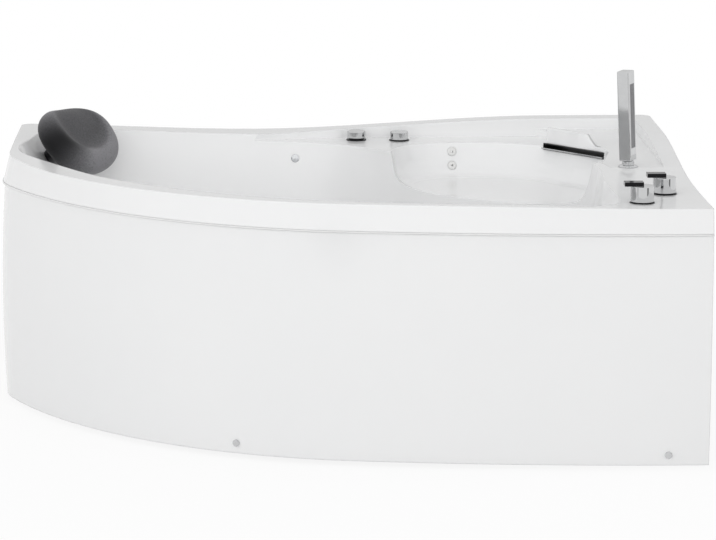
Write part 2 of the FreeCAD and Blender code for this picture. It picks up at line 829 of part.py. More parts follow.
def tub_shell():
    """The acrylic shell: one sheet that makes the lip, rim, basin, seat, ledge and shelf."""
    sheet = float(S.sheet)
    gap = float(S.seat_gap)
    rim = rim_block(0.0, float(LIP_BOTTOM)).cut(rim_block(sheet, float(LIP_BOTTOM) - OVER))
    limits = rim_block(0.0, 0.0)
    floors = ((LEDGE_CORNERS, float(LEDGE_LEVEL)), (SHELF_CORNERS, float(SHELF_LEVEL)))
    outsides = [basin(sheet), lobe(sheet)] + [pocket(corners, floor, sheet) for corners, floor in floors]
    insides = [BASIN, LOBE] + [pocket(corners, floor) for corners, floor in floors]
    shape = rim
    for outside in outsides:
        shape = shape.fuse(outside.common(limits))
    for inside in insides:
        shape = shape.cut(inside)
    stem = float(S.fitting_stem_radius) + gap
    deck = [(BUTTON_FRAME, S.knob_flange_radius), (REGULATOR_FRAME, S.knob_flange_radius)]
    deck += [(frame, S.tap_flange_radius) for frame in TAP_FRAMES.values()]
    deck.append((SHOWER_FRAME, S.shower_socket_radius))
    cutters = [plug_cutter(frame, stem, float(radius) + gap, 60) for frame, radius in deck]
    walls = [(frame, S.jet_neck_radius, S.jet_flange_radius) for frame in JET_FRAMES.values()]
    walls += [(frame, S.seat_jet_radius - 4, S.seat_jet_radius) for frame in SEAT_JET_FRAMES]
    walls.append((LIGHT_FRAME, S.light_radius - 4, S.light_radius))
    walls.append((SUCTION_FRAME, S.suction_pipe_radius, S.suction_radius))
    walls.append((OVERFLOW_FRAME, S.overflow_radius - 14, S.overflow_radius))
    cutters += [plug_cutter(frame, float(hole) + gap, float(face) + gap, 60) for frame, hole, face in walls]
    cutters += [plug_cutter(peg_frame(side), float(S.peg_radius) + gap, 0.1, 60) for side in (-1, 1)]
    drain = Placement(DRAIN - Vector(0, 0, S.seat_recess), Rotation())
    throat = float(S.drain_throat_radius) + 3 + gap
    cutters.append(plug_cutter(drain, throat, float(S.drain_flange_radius), 60))
    slot = Part.makeBox(S.spout_length + gap, S.spout_opening + gap, 80)
    slot.translate(Vector(-(S.spout_length + gap) / 2, -(S.spout_opening + gap) / 2, -50))
    slot.Placement = SPOUT_FRAME.multiply(slot.Placement)
    shape = shape.cut(cutters + [slot])
    solid("tub_shell", shape)


tub_shell()


# Apron


def placed_copies(label, piece, frames):
    """One node of separate solids: the same piece at several places."""
    doc.recompute()
    shapes = []
    for frame in frames:
        shape = piece.Shape.copy()
        shape.Placement = frame
        shapes.append(shape)
    return solid(label, Part.makeCompound(shapes))


SCREW_PLACES = [LEFT + place * STRETCH_LONG for place in (S.left_screw_place, S.right_screw_place)]
SCREW_TURNS = [front_turn_at(x, S.bar_front_gap) for x in SCREW_PLACES]


def screw_frame(turn):
    """Placement of an apron screw, square to the apron's slope."""
    height = S.apron_screw_height
    slope = (apron_inset(height - 1) - apron_inset(height + 1)) / 2
    tilt = Placement(Vector(), Rotation(Vector(1, 0, 0), -math.degrees(math.atan(slope))))
    return front_frame(turn, apron_inset(height), height).multiply(tilt)


SCREW_FRAMES = [screw_frame(turn) for turn in SCREW_TURNS]


def apron_panel():
    """The bowed apron: one thin bulged strip carried round the front and left end."""
    faces = []
    for depth in (0.0, float(S.apron_thickness)):
        faces.append([Vector(RIGHT, FRONT + p.x, p.y) for p in apron_profile(depth)])
    outer, inner = faces
    section = Part.Face(Part.Wire([
        Part.Arc(*outer).toShape(),
        Part.makeLine(outer[2], inner[2]),
        Part.Arc(*inner[::-1]).toShape(),
        Part.makeLine(inner[0], outer[0]),
    ]))
    down = Vector(0, 0, -1)
    strips = []
    for centre, _, first, last in ARCS:
        sweep = math.degrees(last - first)
        strips.append(section.revolve(centre, down, sweep))
        section = section.copy()
        section.rotate(centre, down, sweep)
    strips.append(section.extrude(Vector(0, BACK - END_Y, 0)))
    panel = strips[0].multiFuse(strips[1:]).removeSplitter()
    holes = []
    for frame in SCREW_FRAMES:
        hole = Part.makeCylinder(S.apron_screw_radius + S.seat_gap, 40, Vector(0, 0, -20))
        hole.Placement = frame
        holes.append(hole)
    solid("apron_panel", panel.cut(holes))


def apron_fixings():
    """Screws low on the apron, their caps, and the brackets that tie the apron to the cross bars."""
    head = S.apron_screw_radius + 2
    screw = turned("apron_screw_blank", [
        (0, -2), (head, -2), (head, 0), (S.apron_screw_radius, 0),
        (S.apron_screw_radius, S.apron_screw_length), (0, S.apron_screw_length),
    ])
    placed_copies("apron_screws", screw, SCREW_FRAMES)
    cap = turned("apron_cap_blank", [
        (0, -S.apron_cap_depth - 1), (S.apron_cap_radius - 2, -S.apron_cap_depth - 1),
        (S.apron_cap_radius, -S.apron_cap_depth), (S.apron_cap_radius, 0), (head + S.seat_gap, 0),
        (head + S.seat_gap, -2 - S.seat_gap), (0, -2 - S.seat_gap),
    ])
    placed_copies("apron_screw_caps", cap, SCREW_FRAMES)
    gap = float(S.seat_gap) * 2
    thick = float(S.bracket_sheet)
    rise = float(BAR_BOTTOM) - float(S.apron_screw_height)
    brackets = []
    for turn in SCREW_TURNS:
        inset = apron_inset(S.apron_screw_height) + float(S.apron_thickness)
        frame = front_frame(turn, inset, S.apron_screw_height)
        width = float(S.bracket_width)
        plate = Part.makeBox(width, rise + 6, thick, Vector(-width / 2, -6, gap))
        reach = float(S.bar_front_gap) - inset + 10
        arm = Part.makeBox(width, thick, reach, Vector(-width / 2, rise - thick, gap))
        hole = Part.makeCylinder(S.apron_screw_radius + 2 * gap, 20)
        bracket = plate.fuse(arm).cut(hole)
        bracket.Placement = frame
        brackets.append(bracket)
    solid("apron_brackets", Part.makeCompound(brackets))


# Underframe


def square_tube(label, length, at, along_y=False, stud_places=()):
    """A square steel tube along X or Y, with holes in its underside for foot studs."""
    side, wall = S.tube_side, S.tube_wall
    bore = side - wall * 2
    if along_y:
        outer = box(f"{label}_outer", side, length, side, at)
        inner = box(f"{label}_inner", bore, length + 2, bore, (at[0] + wall, at[1] - 1, at[2] + wall))
    else:
        outer = box(f"{label}_outer", length, side, side, at)
        inner = box(f"{label}_inner", length + 2, bore, bore, (at[0] - 1, at[1] + wall, at[2] + wall))
    holes = [
        rod(f"{label}_hole_{number}", S.stud_radius + S.seat_gap, wall * 3, (x, y, at[2] - wall))
        for number, (x, y) in enumerate(stud_places, start=1)
    ]
    return cut(f"{label}_tube", outer, [inner] + holes)


HALF_TUBE = S.tube_side / 2
RAIL_START = LEFT + S.rail_end_gap
RAIL_END = RIGHT - S.rail_end_gap
FEET = {
    "foot_back_left": (RAIL_START + S.foot_end_gap, RAIL_Y, RAIL_BOTTOM),
    "foot_back_right": (RAIL_END - S.foot_end_gap, RAIL_Y, RAIL_BOTTOM),
}
for bar_name, bar_x, bar_front in zip(("left", "middle", "right"), BARS, BAR_FRONTS):
    FEET[f"foot_front_{bar_name}"] = (bar_x, bar_front + S.bar_foot_gap, BAR_BOTTOM)
POST_PLACES = [place * STRETCH_LONG for place in (1440, 850, 152)]


def underframe():
    """Rails, cross bars on the rails, posts under the back rim and a board under the basin."""
    back_feet = [FEET["foot_back_left"][:2], FEET["foot_back_right"][:2]]
    rail_at = (RAIL_START, RAIL_Y - HALF_TUBE, RAIL_BOTTOM)
    back_rail = square_tube("back_rail", RAIL_END - RAIL_START, rail_at, stud_places=back_feet)
    middle_at = (BARS[0] - HALF_TUBE, BACK - S.middle_rail_place - HALF_TUBE, RAIL_BOTTOM)
    middle_rail = square_tube("middle_rail", BARS[2] - BARS[0] + S.tube_side, middle_at)
    group("frame_rails", [back_rail, middle_rail])
    bars = []
    for name, x, front in zip(("left", "middle", "right"), BARS, BAR_FRONTS):
        length = BACK - S.rail_wall_gap - front
        at = (x - HALF_TUBE, front, BAR_BOTTOM)
        bars.append(square_tube(f"cross_bar_{name}", length, at, True, [FEET[f"foot_front_{name}"][:2]]))
    group("frame_cross_bars", bars)
    posts = []
    for from_right in POST_PLACES:
        x = float(RIGHT) - from_right
        side, wall = float(S.tube_side), float(S.tube_wall)
        ends = (-side / 2, side / 2)
        corners = [(x + dx, float(RAIL_Y) + dy) for dx in ends for dy in ends]
        top = min(rim_level(*corner) for corner in corners) - float(S.sheet) - float(S.seat_gap)
        low = Vector(x - side / 2, RAIL_Y - side / 2, BAR_BOTTOM)
        bore = low + Vector(wall, wall, -1)
        post = Part.makeBox(side, side, top - low.z, low)
        posts.append(post.cut(Part.makeBox(side - 2 * wall, side - 2 * wall, top - low.z + 2, bore)))
    solid("frame_posts", Part.makeCompound(posts))
    board = box(
        "board_blank", BARS[2] - BARS[0], S.board_width, S.board_thickness,
        (BARS[0], BACK - S.basin_middle - S.board_width / 2, BAR_TOP),
    )
    low = (DRAIN.x, DRAIN.y, BAR_TOP - S.board_thickness)
    hole = rod("board_hole", S.trap_radius + 8, S.board_thickness * 3, low)
    keep(cut("board_cut", board, [hole]), "base_board")


def feet():
    """Levelling feet on threaded studs, each with its lock nut under the tube."""
    nut = doc.addObject("Part::Prism", "nut_blank")
    nut.Polygon = 6
    bind(nut, Circumradius=S.nut_radius, Height=S.nut_height)
    bore = rod("nut_bore", S.stud_radius + S.running_gap, S.nut_height * 3, (0, 0, -S.nut_height))
    nut = cut("nut_cut", nut, [bore])
    seats = []
    for label, (x, y, seat) in FEET.items():
        top = seat + S.stud_reach
        foot = turned(f"{label}_body", [
            (0, 0), (S.foot_pad_radius, 0), (S.foot_pad_radius, S.foot_pad_height - 3),
            (S.stud_radius + 4, S.foot_pad_height + 4), (S.stud_radius, S.foot_pad_height + 4),
            (S.stud_radius, top), (0, top),
        ])
        place(foot, (x, y, 0))
        keep(foot, label)
        seats.append(Placement(Vector(x, y, seat - S.nut_height), Rotation()))
    placed_copies("foot_lock_nuts", nut, seats)


# Jets and pipes


def along(frame, height):
    """A point on a fitting's own axis."""
    return frame.multVec(Vector(0, 0, float(height)))


def ring_main():
    """Water main from the pump up and round the tub: along the back, the left end and the bowed front."""
    height = float(MAIN_Z)
    inset = float(S.main_front_inset)
    x = float(VOLUTE_LEFT + S.volute_width / 2)
    y = float(MAIN_Y)
    start = Vector(x, y, DISCHARGE_TOP)
    turn_up = Vector(x, y, height)
    corner = Vector(LEFT + inset, y, height)
    end = Vector(LEFT + inset, END_Y, height)
    edges = list(pipe_path([start, turn_up, corner, end], float(S.main_bend)).OrderedEdges)
    last_jet = front_turn_at(float(RIGHT) - FRONT_JETS[-1] + 50, inset)
    for _, _, first, last in reversed(ARCS):
        first = max(first, last_jet)
        turns = (last, (first + last) / 2, first)
        edges.append(Part.Arc(*(on_front(turn, inset, height) for turn in turns)).toShape())
    return Part.Wire(edges)


def jets():
    """Wall jets: a body through the wall, a nozzle ball that swivels in it, and a hose to the ring main."""
    ball = S.jet_ball_radius
    drop = S.jet_ball_drop
    flange = turned("jet_flange_blank", [
        (0, 0), (S.jet_flange_radius, 0), (S.jet_flange_radius, S.jet_flange_height - 2),
        (S.jet_flange_radius - 4, S.jet_flange_height), (0, S.jet_flange_height),
    ])
    neck = rod("jet_neck_blank", S.jet_neck_radius, S.jet_depth, (0, 0, -S.jet_depth))
    socket = doc.addObject("Part::Sphere", "jet_socket")
    bind(socket, Radius=ball + S.seat_gap)
    place(socket, (0, 0, -drop))
    bore = rod("jet_inlet", S.hose_radius, S.jet_depth, (0, 0, -S.jet_depth - 1))
    body = cut("jet_body", joined("jet_body_blank", [flange, neck]), [socket, bore])
    nozzle_ball = doc.addObject("Part::Sphere", "nozzle_ball")
    bind(nozzle_ball, Radius=ball)
    place(nozzle_ball, (0, 0, -drop))
    nose = rod("nozzle_nose", S.jet_bore_radius + 3, ball + 4, (0, 0, -drop))
    hole = rod("nozzle_bore", S.jet_bore_radius, ball * 4, (0, 0, -drop - ball * 2))
    nozzle = cut("nozzle", joined("nozzle_blank", [nozzle_ball, nose]), [hole])
    placed_copies("jet_bodies", body, JET_FRAMES.values())
    for name, frame in JET_FRAMES.items():
        solid(f"jet_nozzle_{name}", nozzle.Shape.copy(), frame)
    path = ring_main()
    bar = swept(path, float(S.main_radius))
    solid("ring_main", bar.cut(swept(path, float(S.main_radius - S.main_wall))))
    hoses = []
    for frame in JET_FRAMES.values():
        start = along(frame, -S.jet_depth)
        end = path.distToShape(Part.Vertex(start))[1][0][0]
        hose = Part.makeCylinder(S.hose_radius + 3, (end - start).Length, start, end - start)
        envelope = Part.makeCylinder(S.jet_neck_radius + 20, S.jet_depth, Vector(0, 0, -S.jet_depth))
        envelope.Placement = frame
        hoses.append(hose.cut([bar, envelope]))
    solid("jet_hoses", Part.makeCompound(hoses))


def small_wall_fittings():
    """Two small jets in the seat's back wall and a lamp in the far wall."""
    radius = S.seat_jet_radius
    jet = turned("seat_jet_blank", [
        (2.5, -16), (radius - 4, -16), (radius - 4, 0), (radius, 0), (radius, 2), (radius - 3, 4), (2.5, 4),
    ])
    placed_copies("seat_jets", jet, SEAT_JET_FRAMES)
    radius = S.light_radius
    lamp = turned("bath_lamp_body", [
        (0, -16), (radius - 4, -16), (radius - 4, 0), (radius, 0), (radius, 2), (radius - 4, 4.4), (0, 5.4),
    ])
    lamp.Placement = LIGHT_FRAME
    keep(lamp, "bath_lamp")


def suction():
    """Suction fitting in the foot-end wall: body, grille with a ring of holes, and the pipe to the pump."""
    wall = 3
    neck = S.suction_pipe_radius
    depth = 40
    body = turned("suction_fitting", [
        (neck - wall, -depth), (neck, -depth), (neck, 0), (S.suction_radius, 0), (S.suction_radius, 4),
        (neck - wall, 4),
    ])
    body.Placement = SUCTION_FRAME
    keep(body, "suction_body")
    grille = turned("suction_cover", [
        (0, 4), (S.suction_radius - 1, 4), (S.suction_radius - 1, 7), (S.suction_radius - 6, 10), (0, 10),
    ])
    holes = new_sketch(grille, "suction_holes", "XY_Plane")
    holes.addGeometry(Part.Circle(Vector(neck - 10, 0, 0), Vector(0, 0, 1), 4), False)
    holes.addConstraint(Sketcher.Constraint("PointOnObject", 0, 3, -1))
    ring = holes.addConstraint(Sketcher.Constraint("DistanceX", -1, 1, 0, 3, float(neck - 10)))
    holes.setExpression(f"Constraints[{ring}]", (neck - 10).text)
    holes.addConstraint(Sketcher.Constraint("Radius", 0, 4))
    drill = grille.newObject("PartDesign::Pocket", "suction_drill")
    drill.Profile = holes
    drill.Type = 1
    drill.Midplane = True
    doc.recompute()
    pattern = grille.newObject("PartDesign::PolarPattern", "suction_pattern")
    pattern.Originals = [drill]
    pattern.Axis = (holes, ["N_Axis"])
    pattern.Angle = 360
    pattern.Occurrences = 9
    grille.Tip = pattern
    grille.Placement = SUCTION_FRAME
    keep(grille, "suction_grille")
    start = along(SUCTION_FRAME, -depth)
    elbow = along(SUCTION_FRAME, -depth - 90)
    points = [start, elbow, Vector(elbow.x, PUMP_Y, PUMP_Z), Vector(VOLUTE_RIGHT, PUMP_Y, PUMP_Z)]
    solid("suction_pipe", tube(pipe_path(points, 42.0), float(neck), float(wall)))


def drain():
    """Drain flange with its guide, pop-up plug, and the trap with its outlet to the wall."""
    throat = S.drain_throat_radius
    floor = S.floor_height
    web = 4
    deep = floor - S.drain_depth
    seat = floor - S.seat_recess
    ring = turned("drain_ring", [
        (throat, deep), (throat + 3, deep), (throat + 3, seat), (S.drain_flange_radius - S.seat_gap, seat),
        (S.drain_flange_radius - S.seat_gap, seat + 2), (throat + 2, seat + 3), (throat, seat + 3),
    ])
    bars = [
        box("drain_web_x", throat * 2 + 2, web, web, (-throat - 1, -web / 2, deep)),
        box("drain_web_y", web, throat * 2 + 2, web, (-web / 2, -throat - 1, deep)),
        rod("drain_hub", S.plug_stem_radius + 4, web * 3, (0, 0, deep)),
    ]
    guide = rod("drain_guide", S.plug_stem_radius + S.running_gap, web * 9, (0, 0, deep - web))
    flange = cut("drain_flange_cut", joined("drain_flange_blank", [ring] + bars), [guide])
    place(flange, (RIGHT - S.drain_right, BACK - S.drain_back, 0))
    keep(flange, "drain_flange")
    rest = seat + 3 + S.seat_gap
    plug = turned("drain_plug_body", [
        (0, deep + 2), (S.plug_stem_radius, deep + 2), (S.plug_stem_radius, rest), (S.plug_radius, rest),
        (S.plug_radius, rest + S.plug_height - 4), (S.plug_radius - 4, rest + S.plug_height - 1),
        (0, rest + S.plug_height),
    ])
    place(plug, (RIGHT - S.drain_right, BACK - S.drain_back, 0))
    keep(plug, "drain_plug")
    top = deep + 8
    wall = 3
    at = Vector(DRAIN.x, DRAIN.y, 0)
    outlet_end = float(BACK) - 20
    run = outlet_end - at.y
    base = at + Vector(0, 0, S.trap_floor)
    tall = float(top - S.trap_floor)
    side = at + Vector(0, 0, S.waste_height)
    cup = Part.makeCylinder(S.trap_radius, tall, base)
    cup = cup.fuse(Part.makeCylinder(S.waste_radius, run, side, Vector(0, 1, 0)))
    collar = Vector(at.x, outlet_end - float(S.waste_collar), S.waste_height)
    cup = cup.fuse(Part.makeCylinder(S.waste_radius + wall, S.waste_collar, collar, Vector(0, 1, 0)))
    cup = cup.cut(Part.makeCylinder(S.trap_radius - wall, tall - 2 * wall, base + Vector(0, 0, wall)))
    cup = cup.cut(Part.makeCylinder(throat + 3 + S.seat_gap, wall * 3, base + Vector(0, 0, tall - 2 * wall)))
    cup = cup.cut(Part.makeCylinder(S.waste_radius - wall, run, side, Vector(0, 1, 0)))
    start = along(OVERFLOW_FRAME, -24)
    under = Vector(start.x, start.y, S.waste_height + 10)
    path = pipe_path([start, under, at + Vector(0, 0, S.waste_height + 10)], 40.0)
    pipe = tube(path, float(S.overflow_pipe_radius), 2.0)
    neck = Part.makeCylinder(S.overflow_radius - 14, 60, Vector(0, 0, -60))
    neck.Placement = OVERFLOW_FRAME
    pipe = pipe.cut([Part.makeCylinder(S.trap_radius, 400, at), neck])
    solid("drain_trap", Part.makeCompound([cup, max(pipe.Solids, key=lambda part: part.Volume)]))


def overflow():
    """Overflow in the front wall, with the knob that lifts the drain plug."""
    spindle = 5
    neck = S.overflow_radius - 14
    body = turned("overflow_fitting", [
        (spindle + S.running_gap, -40), (neck, -40), (neck, 0), (S.overflow_radius, 0),
        (S.overflow_radius, 4), (neck - 4, 4), (neck - 4, -34), (spindle + S.running_gap, -34),
    ])
    body.Placement = OVERFLOW_FRAME
    keep(body, "overflow_body")
    reach = S.overflow_radius - 3
    blank = turned("overflow_knob_blank", [
        (0, -39), (spindle, -39), (spindle, 7), (reach, 7), (reach, 15), (reach - 4, 19), (0, 19),
    ])
    grips = []
    for number in range(6):
        turn = math.radians(60 * number)
        at = ((reach + 3) * math.cos(turn), (reach + 3) * math.sin(turn), 0)
        grips.append(rod(f"overflow_grip_{number}", 7, 30, at))
    knob = cut("overflow_knob_cut", blank, grips)
    knob.Placement = OVERFLOW_FRAME
    keep(knob, "overflow_knob")


# Pump


def vanes(name, count, inner, outer, thickness, low, tall):
    """Straight radial vanes about Z."""
    pieces = []
    for number in range(count):
        vane = doc.addObject("Part::Box", f"{name}_{number}")
        bind(vane, Length=outer - inner, Width=thickness, Height=tall)
        turn = Rotation(Vector(0, 0, 1), 360.0 * number / count)
        place(vane, turn.multVec(Vector(inner, -thickness / 2, float(low))), turn)
        pieces.append(vane)
    return pieces


def pump():
    """Circulation pump: motor with its rotor, bearings, fan and cover, and the volute with its impeller."""
    length, radius, shaft = S.motor_length, S.motor_radius, S.shaft_radius
    seat, deep, wall = S.bearing_radius, S.bearing_width, S.motor_wall
    frame = Placement(Vector(MOTOR_LEFT, PUMP_Y, PUMP_Z), ALONG_X)

    def lay(piece, label):
        piece.Placement = frame
        keep(piece, label)

    lay(turned("motor_shell", [
        (seat, 0), (radius, 0), (radius, length), (seat, length), (seat, length - deep),
        (radius - wall, length - deep), (radius - wall, deep), (seat, deep),
    ]), "motor_housing")
    lay(turned("stator_ring", [
        (radius - wall - 14, deep + 16), (radius - wall, deep + 16), (radius - wall, length - deep - 16),
        (radius - wall - 14, length - deep - 16),
    ]), "motor_stator")
    bearing = turned("bearing_blank", [
        (shaft + S.running_gap, 0), (seat, 0), (seat, deep), (shaft + S.running_gap, deep),
    ])
    ends = [frame.multiply(Placement(Vector(0, 0, z), Rotation())) for z in (0.0, float(length - deep))]
    placed_copies("motor_bearings", bearing, ends)
    core = radius - wall - 16
    tail = S.fan_cover_depth - 8
    tip = length + S.volute_width * 0.55
    lay(turned("rotor_core", [
        (0, -tail), (shaft, -tail), (shaft, deep + 14), (core, deep + 14), (core, length - deep - 14),
        (shaft, length - deep - 14), (shaft, tip), (0, tip),
    ]), "rotor_shaft")
    fan_low = -S.fan_width - 12
    hub = turned("fan_hub", [
        (shaft, fan_low), (shaft + 6, fan_low), (shaft + 6, -12), (shaft, -12),
    ])
    blades = vanes("fan_blade", 7, float(shaft) + 4, float(S.fan_radius), 3.0, float(fan_low), S.fan_width)
    lay(joined("fan_blank", [hub] + blades), "cooling_fan")
    cover = S.fan_radius + 5
    lay(turned("fan_cover_cup", [
        (22, -S.fan_cover_depth), (cover + 3, -S.fan_cover_depth), (cover + 3, 0), (cover, 0),
        (cover, 3 - S.fan_cover_depth), (22, 3 - S.fan_cover_depth),
    ]), "fan_cover")
    low = length + S.volute_wall + 4
    disc = turned("impeller_disc", [
        (shaft, low), (S.impeller_radius, low), (S.impeller_radius, low + 5), (shaft + 8, low + 5),
        (shaft + 8, tip - 4), (shaft, tip - 4),
    ])
    blades = vanes("impeller_vane", 6, float(shaft) + 6, float(S.impeller_radius), 4.0, float(low) + 4, 18)
    lay(joined("impeller_blank", [disc] + blades), "impeller")
    outer, skin, wide = S.volute_radius, S.volute_wall, S.volute_width
    inlet = S.suction_pipe_radius - 3
    casing = turned("volute_casing", [
        (shaft + 1, length), (outer, length), (outer, length + wide), (inlet, length + wide),
        (inlet, length + wide - skin), (outer - skin, length + wide - skin), (outer - skin, length + skin),
        (shaft + 1, length + skin),
    ])
    casing.Placement = frame
    middle = VOLUTE_LEFT + wide / 2
    start = PUMP_Z + outer * 0.65
    stub = rod("discharge_stub", S.main_radius, DISCHARGE_TOP - start, (middle, MAIN_Y, start))
    low = (middle, MAIN_Y, start - 20)
    bore = rod("discharge_bore", S.main_radius - S.main_wall, DISCHARGE_TOP - start + 40, low)
    keep(cut("volute_cut", joined("volute_blank", [casing, stub]), [bore]), "pump_volute")
    plate_top = BAR_TOP + S.plate_thickness
    half = 70
    plate = box(
        "pump_plate", BARS[2] - BARS[1], half * 2, S.plate_thickness, (BARS[1], PUMP_Y - half, BAR_TOP),
    )
    saddles = [
        box(f"saddle_{number}", 40, 80, S.pump_axis_lift - 25, (MOTOR_LEFT + x, PUMP_Y - 40, plate_top))
        for number, x in enumerate((22, length - 62), start=1)
    ]
    drum = rod("pump_saddle_round", radius, length, (MOTOR_LEFT, PUMP_Y, PUMP_Z), ALONG_X)
    keep(cut("pump_base_cut", joined("pump_base_blank", [plate] + saddles), [drum]), "pump_base")


# Fittings on the rim


def air_controls():
    """The two knobs on the back ledge: a push button that starts the pump, and the air regulator."""
    stem, deep, flange = S.fitting_stem_radius, S.fitting_stem_depth, S.knob_flange_radius
    tall, radius, rise = S.knob_height, S.knob_radius, S.knob_flange_height
    pin = 6
    skin = 3
    for name, label, frame, lift in (
        ("air_button", "air_button_cap", BUTTON_FRAME, S.button_travel + S.seat_gap),
        ("air_regulator", "air_regulator_knob", REGULATOR_FRAME, S.seat_gap),
    ):
        top = rise + tall
        boss = top - skin - lift - S.seat_gap
        base = turned(f"{name}_base", [
            (pin + S.running_gap, -deep), (stem, -deep), (stem, 0), (flange, 0), (flange, rise - 1.5),
            (flange - 1.5, rise), (radius - skin - S.seat_gap, rise), (radius - skin - S.seat_gap, boss),
            (pin + S.running_gap, boss),
        ])
        base.Placement = frame
        keep(base, f"{name}_housing")
        cap = turned(f"{name}_cup", [
            (0, -deep / 2), (pin, -deep / 2), (pin, top - skin), (radius - skin, top - skin),
            (radius - skin, rise + lift), (radius, rise + lift), (radius, top - 2), (radius - 2, top),
            (0, top),
        ])
        if name == "air_regulator":
            notch = box("regulator_mark", radius, 3, 3, (8, -1.5, top - 1))
            cap = cut("regulator_knob_cut", cap, [notch])
        cap.Placement = frame
        keep(cap, label)


def taps():
    """Two deck taps: a valve through the deck and a round handle with a flat lever on its spindle."""
    radius, tall = S.tap_radius, S.tap_height
    spindle, deep = S.spindle_radius, S.tap_depth
    rise = S.knob_flange_height
    for name, frame in TAP_FRAMES.items():
        stem = S.fitting_stem_radius
        valve = turned(f"{name}_body", [
            (0, -deep - S.inlet_length), (S.inlet_radius, -deep - S.inlet_length), (S.inlet_radius, -deep),
            (stem, -deep), (stem, 0), (S.tap_flange_radius, 0), (S.tap_flange_radius, rise - 1.5),
            (S.tap_flange_radius - 1.5, rise), (spindle, rise), (spindle, tall - 4), (0, tall - 4),
        ])
        valve.Placement = frame
        keep(valve, f"{name}_valve")
        low = rise + S.seat_gap
        drum = turned(f"{name}_drum", [
            (spindle + S.running_gap, low), (radius - 1, low), (radius, low + 1), (radius, low + tall - 1),
            (radius - 1, low + tall), (0, low + tall), (0, tall - 4 + S.seat_gap),
            (spindle + S.running_gap, tall - 4 + S.seat_gap),
        ])
        lever = box(
            f"{name}_lever", S.lever_length, S.lever_width, S.lever_thickness,
            (-radius - S.lever_overhang, -S.lever_width / 2, low + tall),
        )
        handle = joined(f"{name}_handle_blank", [drum, lever])
        handle.Placement = frame
        keep(handle, f"{name}_handle")


LEAN = Placement(Vector(), Rotation(Vector(0, 1, 0), -float(S.shower_lean)))
SHOWER_AXIS = SHOWER_FRAME.multiply(LEAN)


def hand_shower():
    """The hand shower: a square wand with a recessed spray plate, standing by its neck in a deck socket."""
    radius, tall = S.shower_socket_radius, S.shower_socket_height
    neck, deep = S.shower_neck_radius, S.fitting_stem_depth
    collar = turned("shower_collar", [
        (0, -deep), (S.fitting_stem_radius, -deep), (S.fitting_stem_radius, 0), (radius, 0), (radius, 4),
        (radius - 2, 6), (neck + 5, 8), (neck + 5, tall - 1), (neck + 4, tall), (0, tall),
    ])
    doc.recompute()
    bore = Part.makeCylinder(neck + S.seat_gap, deep + tall + 60, Vector(0, 0, -deep - 30))
    bore.Placement = LEAN
    solid("shower_socket", collar.Shape.cut(bore), SHOWER_FRAME)
    low = float(tall) + 1
    width, thick, length = float(S.shower_width), float(S.shower_thickness), float(S.shower_length)
    wand = Part.makeBox(thick, width, length, Vector(-thick / 2, -width / 2, low))
    wand = wand.makeFillet(2.5, wand.Edges)
    margin = 5.0
    recess = 2.0
    plate_tall = length - 60
    corner = Vector(thick / 2 - recess, margin - width / 2, low + 30)
    plate = Part.makeBox(recess, width - 2 * margin, plate_tall, corner)
    stem = Part.makeCylinder(neck, S.shower_neck_length, Vector(0, 0, low + 2 - float(S.shower_neck_length)))
    turn = Placement(Vector(), Rotation(Vector(0, 0, 1), -float(S.shower_turn)))
    frame = SHOWER_AXIS.multiply(turn)
    solid("hand_shower", wand.cut(plate).fuse(stem), frame)
    solid("shower_spray_plate", plate, frame)


def waterfall():
    """The waterfall spout across the corner: a flat duct in the face, its bright lip and its feed."""
    length, opening, depth = float(S.spout_length), float(S.spout_opening), float(S.spout_depth)
    wall = float(S.spout_wall)
    front = float(S.seat_recess) + 1.5
    duct = Part.makeBox(length, opening, depth + front, Vector(-length / 2, -opening / 2, -depth))
    corner = Vector(wall - length / 2, wall - opening / 2, wall - depth)
    hollow = Part.makeBox(length - 2 * wall, opening - 2 * wall, depth + front, corner)
    solid("waterfall_spout", duct.cut(hollow), SPOUT_FRAME)
    reach = front + float(S.spout_lip_reach)
    lip = Part.makeBox(
        length - 2 * wall - 1, 3, 30 + reach, Vector(wall + 0.5 - length / 2, wall - opening / 2, -30),
    )
    solid("spout_lip", lip, SPOUT_FRAME)
    start = SPOUT_FRAME.multVec(Vector(0, -opening / 2, 20 - depth))
    height = float(S.rim_height - S.feed_drop)
    tap = TAP_FRAMES["back_tap"].Base
    corner = Vector(tap.x, start.y, height)
    end = Vector(tap.x, tap.y, height)
    path = pipe_path([start, Vector(start.x, start.y, height), corner, end], float(S.feed_bend))
    valve = Part.makeCylinder(S.fitting_stem_radius, 200, Vector(tap.x, tap.y, height - 100))
    box_under = duct.copy()
    box_under.Placement = SPOUT_FRAME
    pipe = tube(path, float(S.feed_radius), 1.5).cut([valve, box_under])
    solid("spout_feed_pipe", max(pipe.Solids, key=lambda part: part.Volume))


# Headrest


def rounded_ring(width, length, radius, height):
    """A rectangle with round corners at a height, centred on the origin."""
    half_w, half_l = width / 2, length / 2
    corners = [
        Vector(-half_w, -half_l, height), Vector(half_w, -half_l, height),
        Vector(half_w, half_l, height), Vector(-half_w, half_l, height),
    ]
    bends = [bend(corners[i], corners[i - 1], corners[(i + 1) % 4], radius) for i in range(4)]
    edges = []
    for index, arc in enumerate(bends):
        edges.append(Part.Arc(*arc).toShape())
        edges.append(Part.makeLine(arc[2], bends[(index + 1) % 4][0]))
    return Part.Wire(edges)


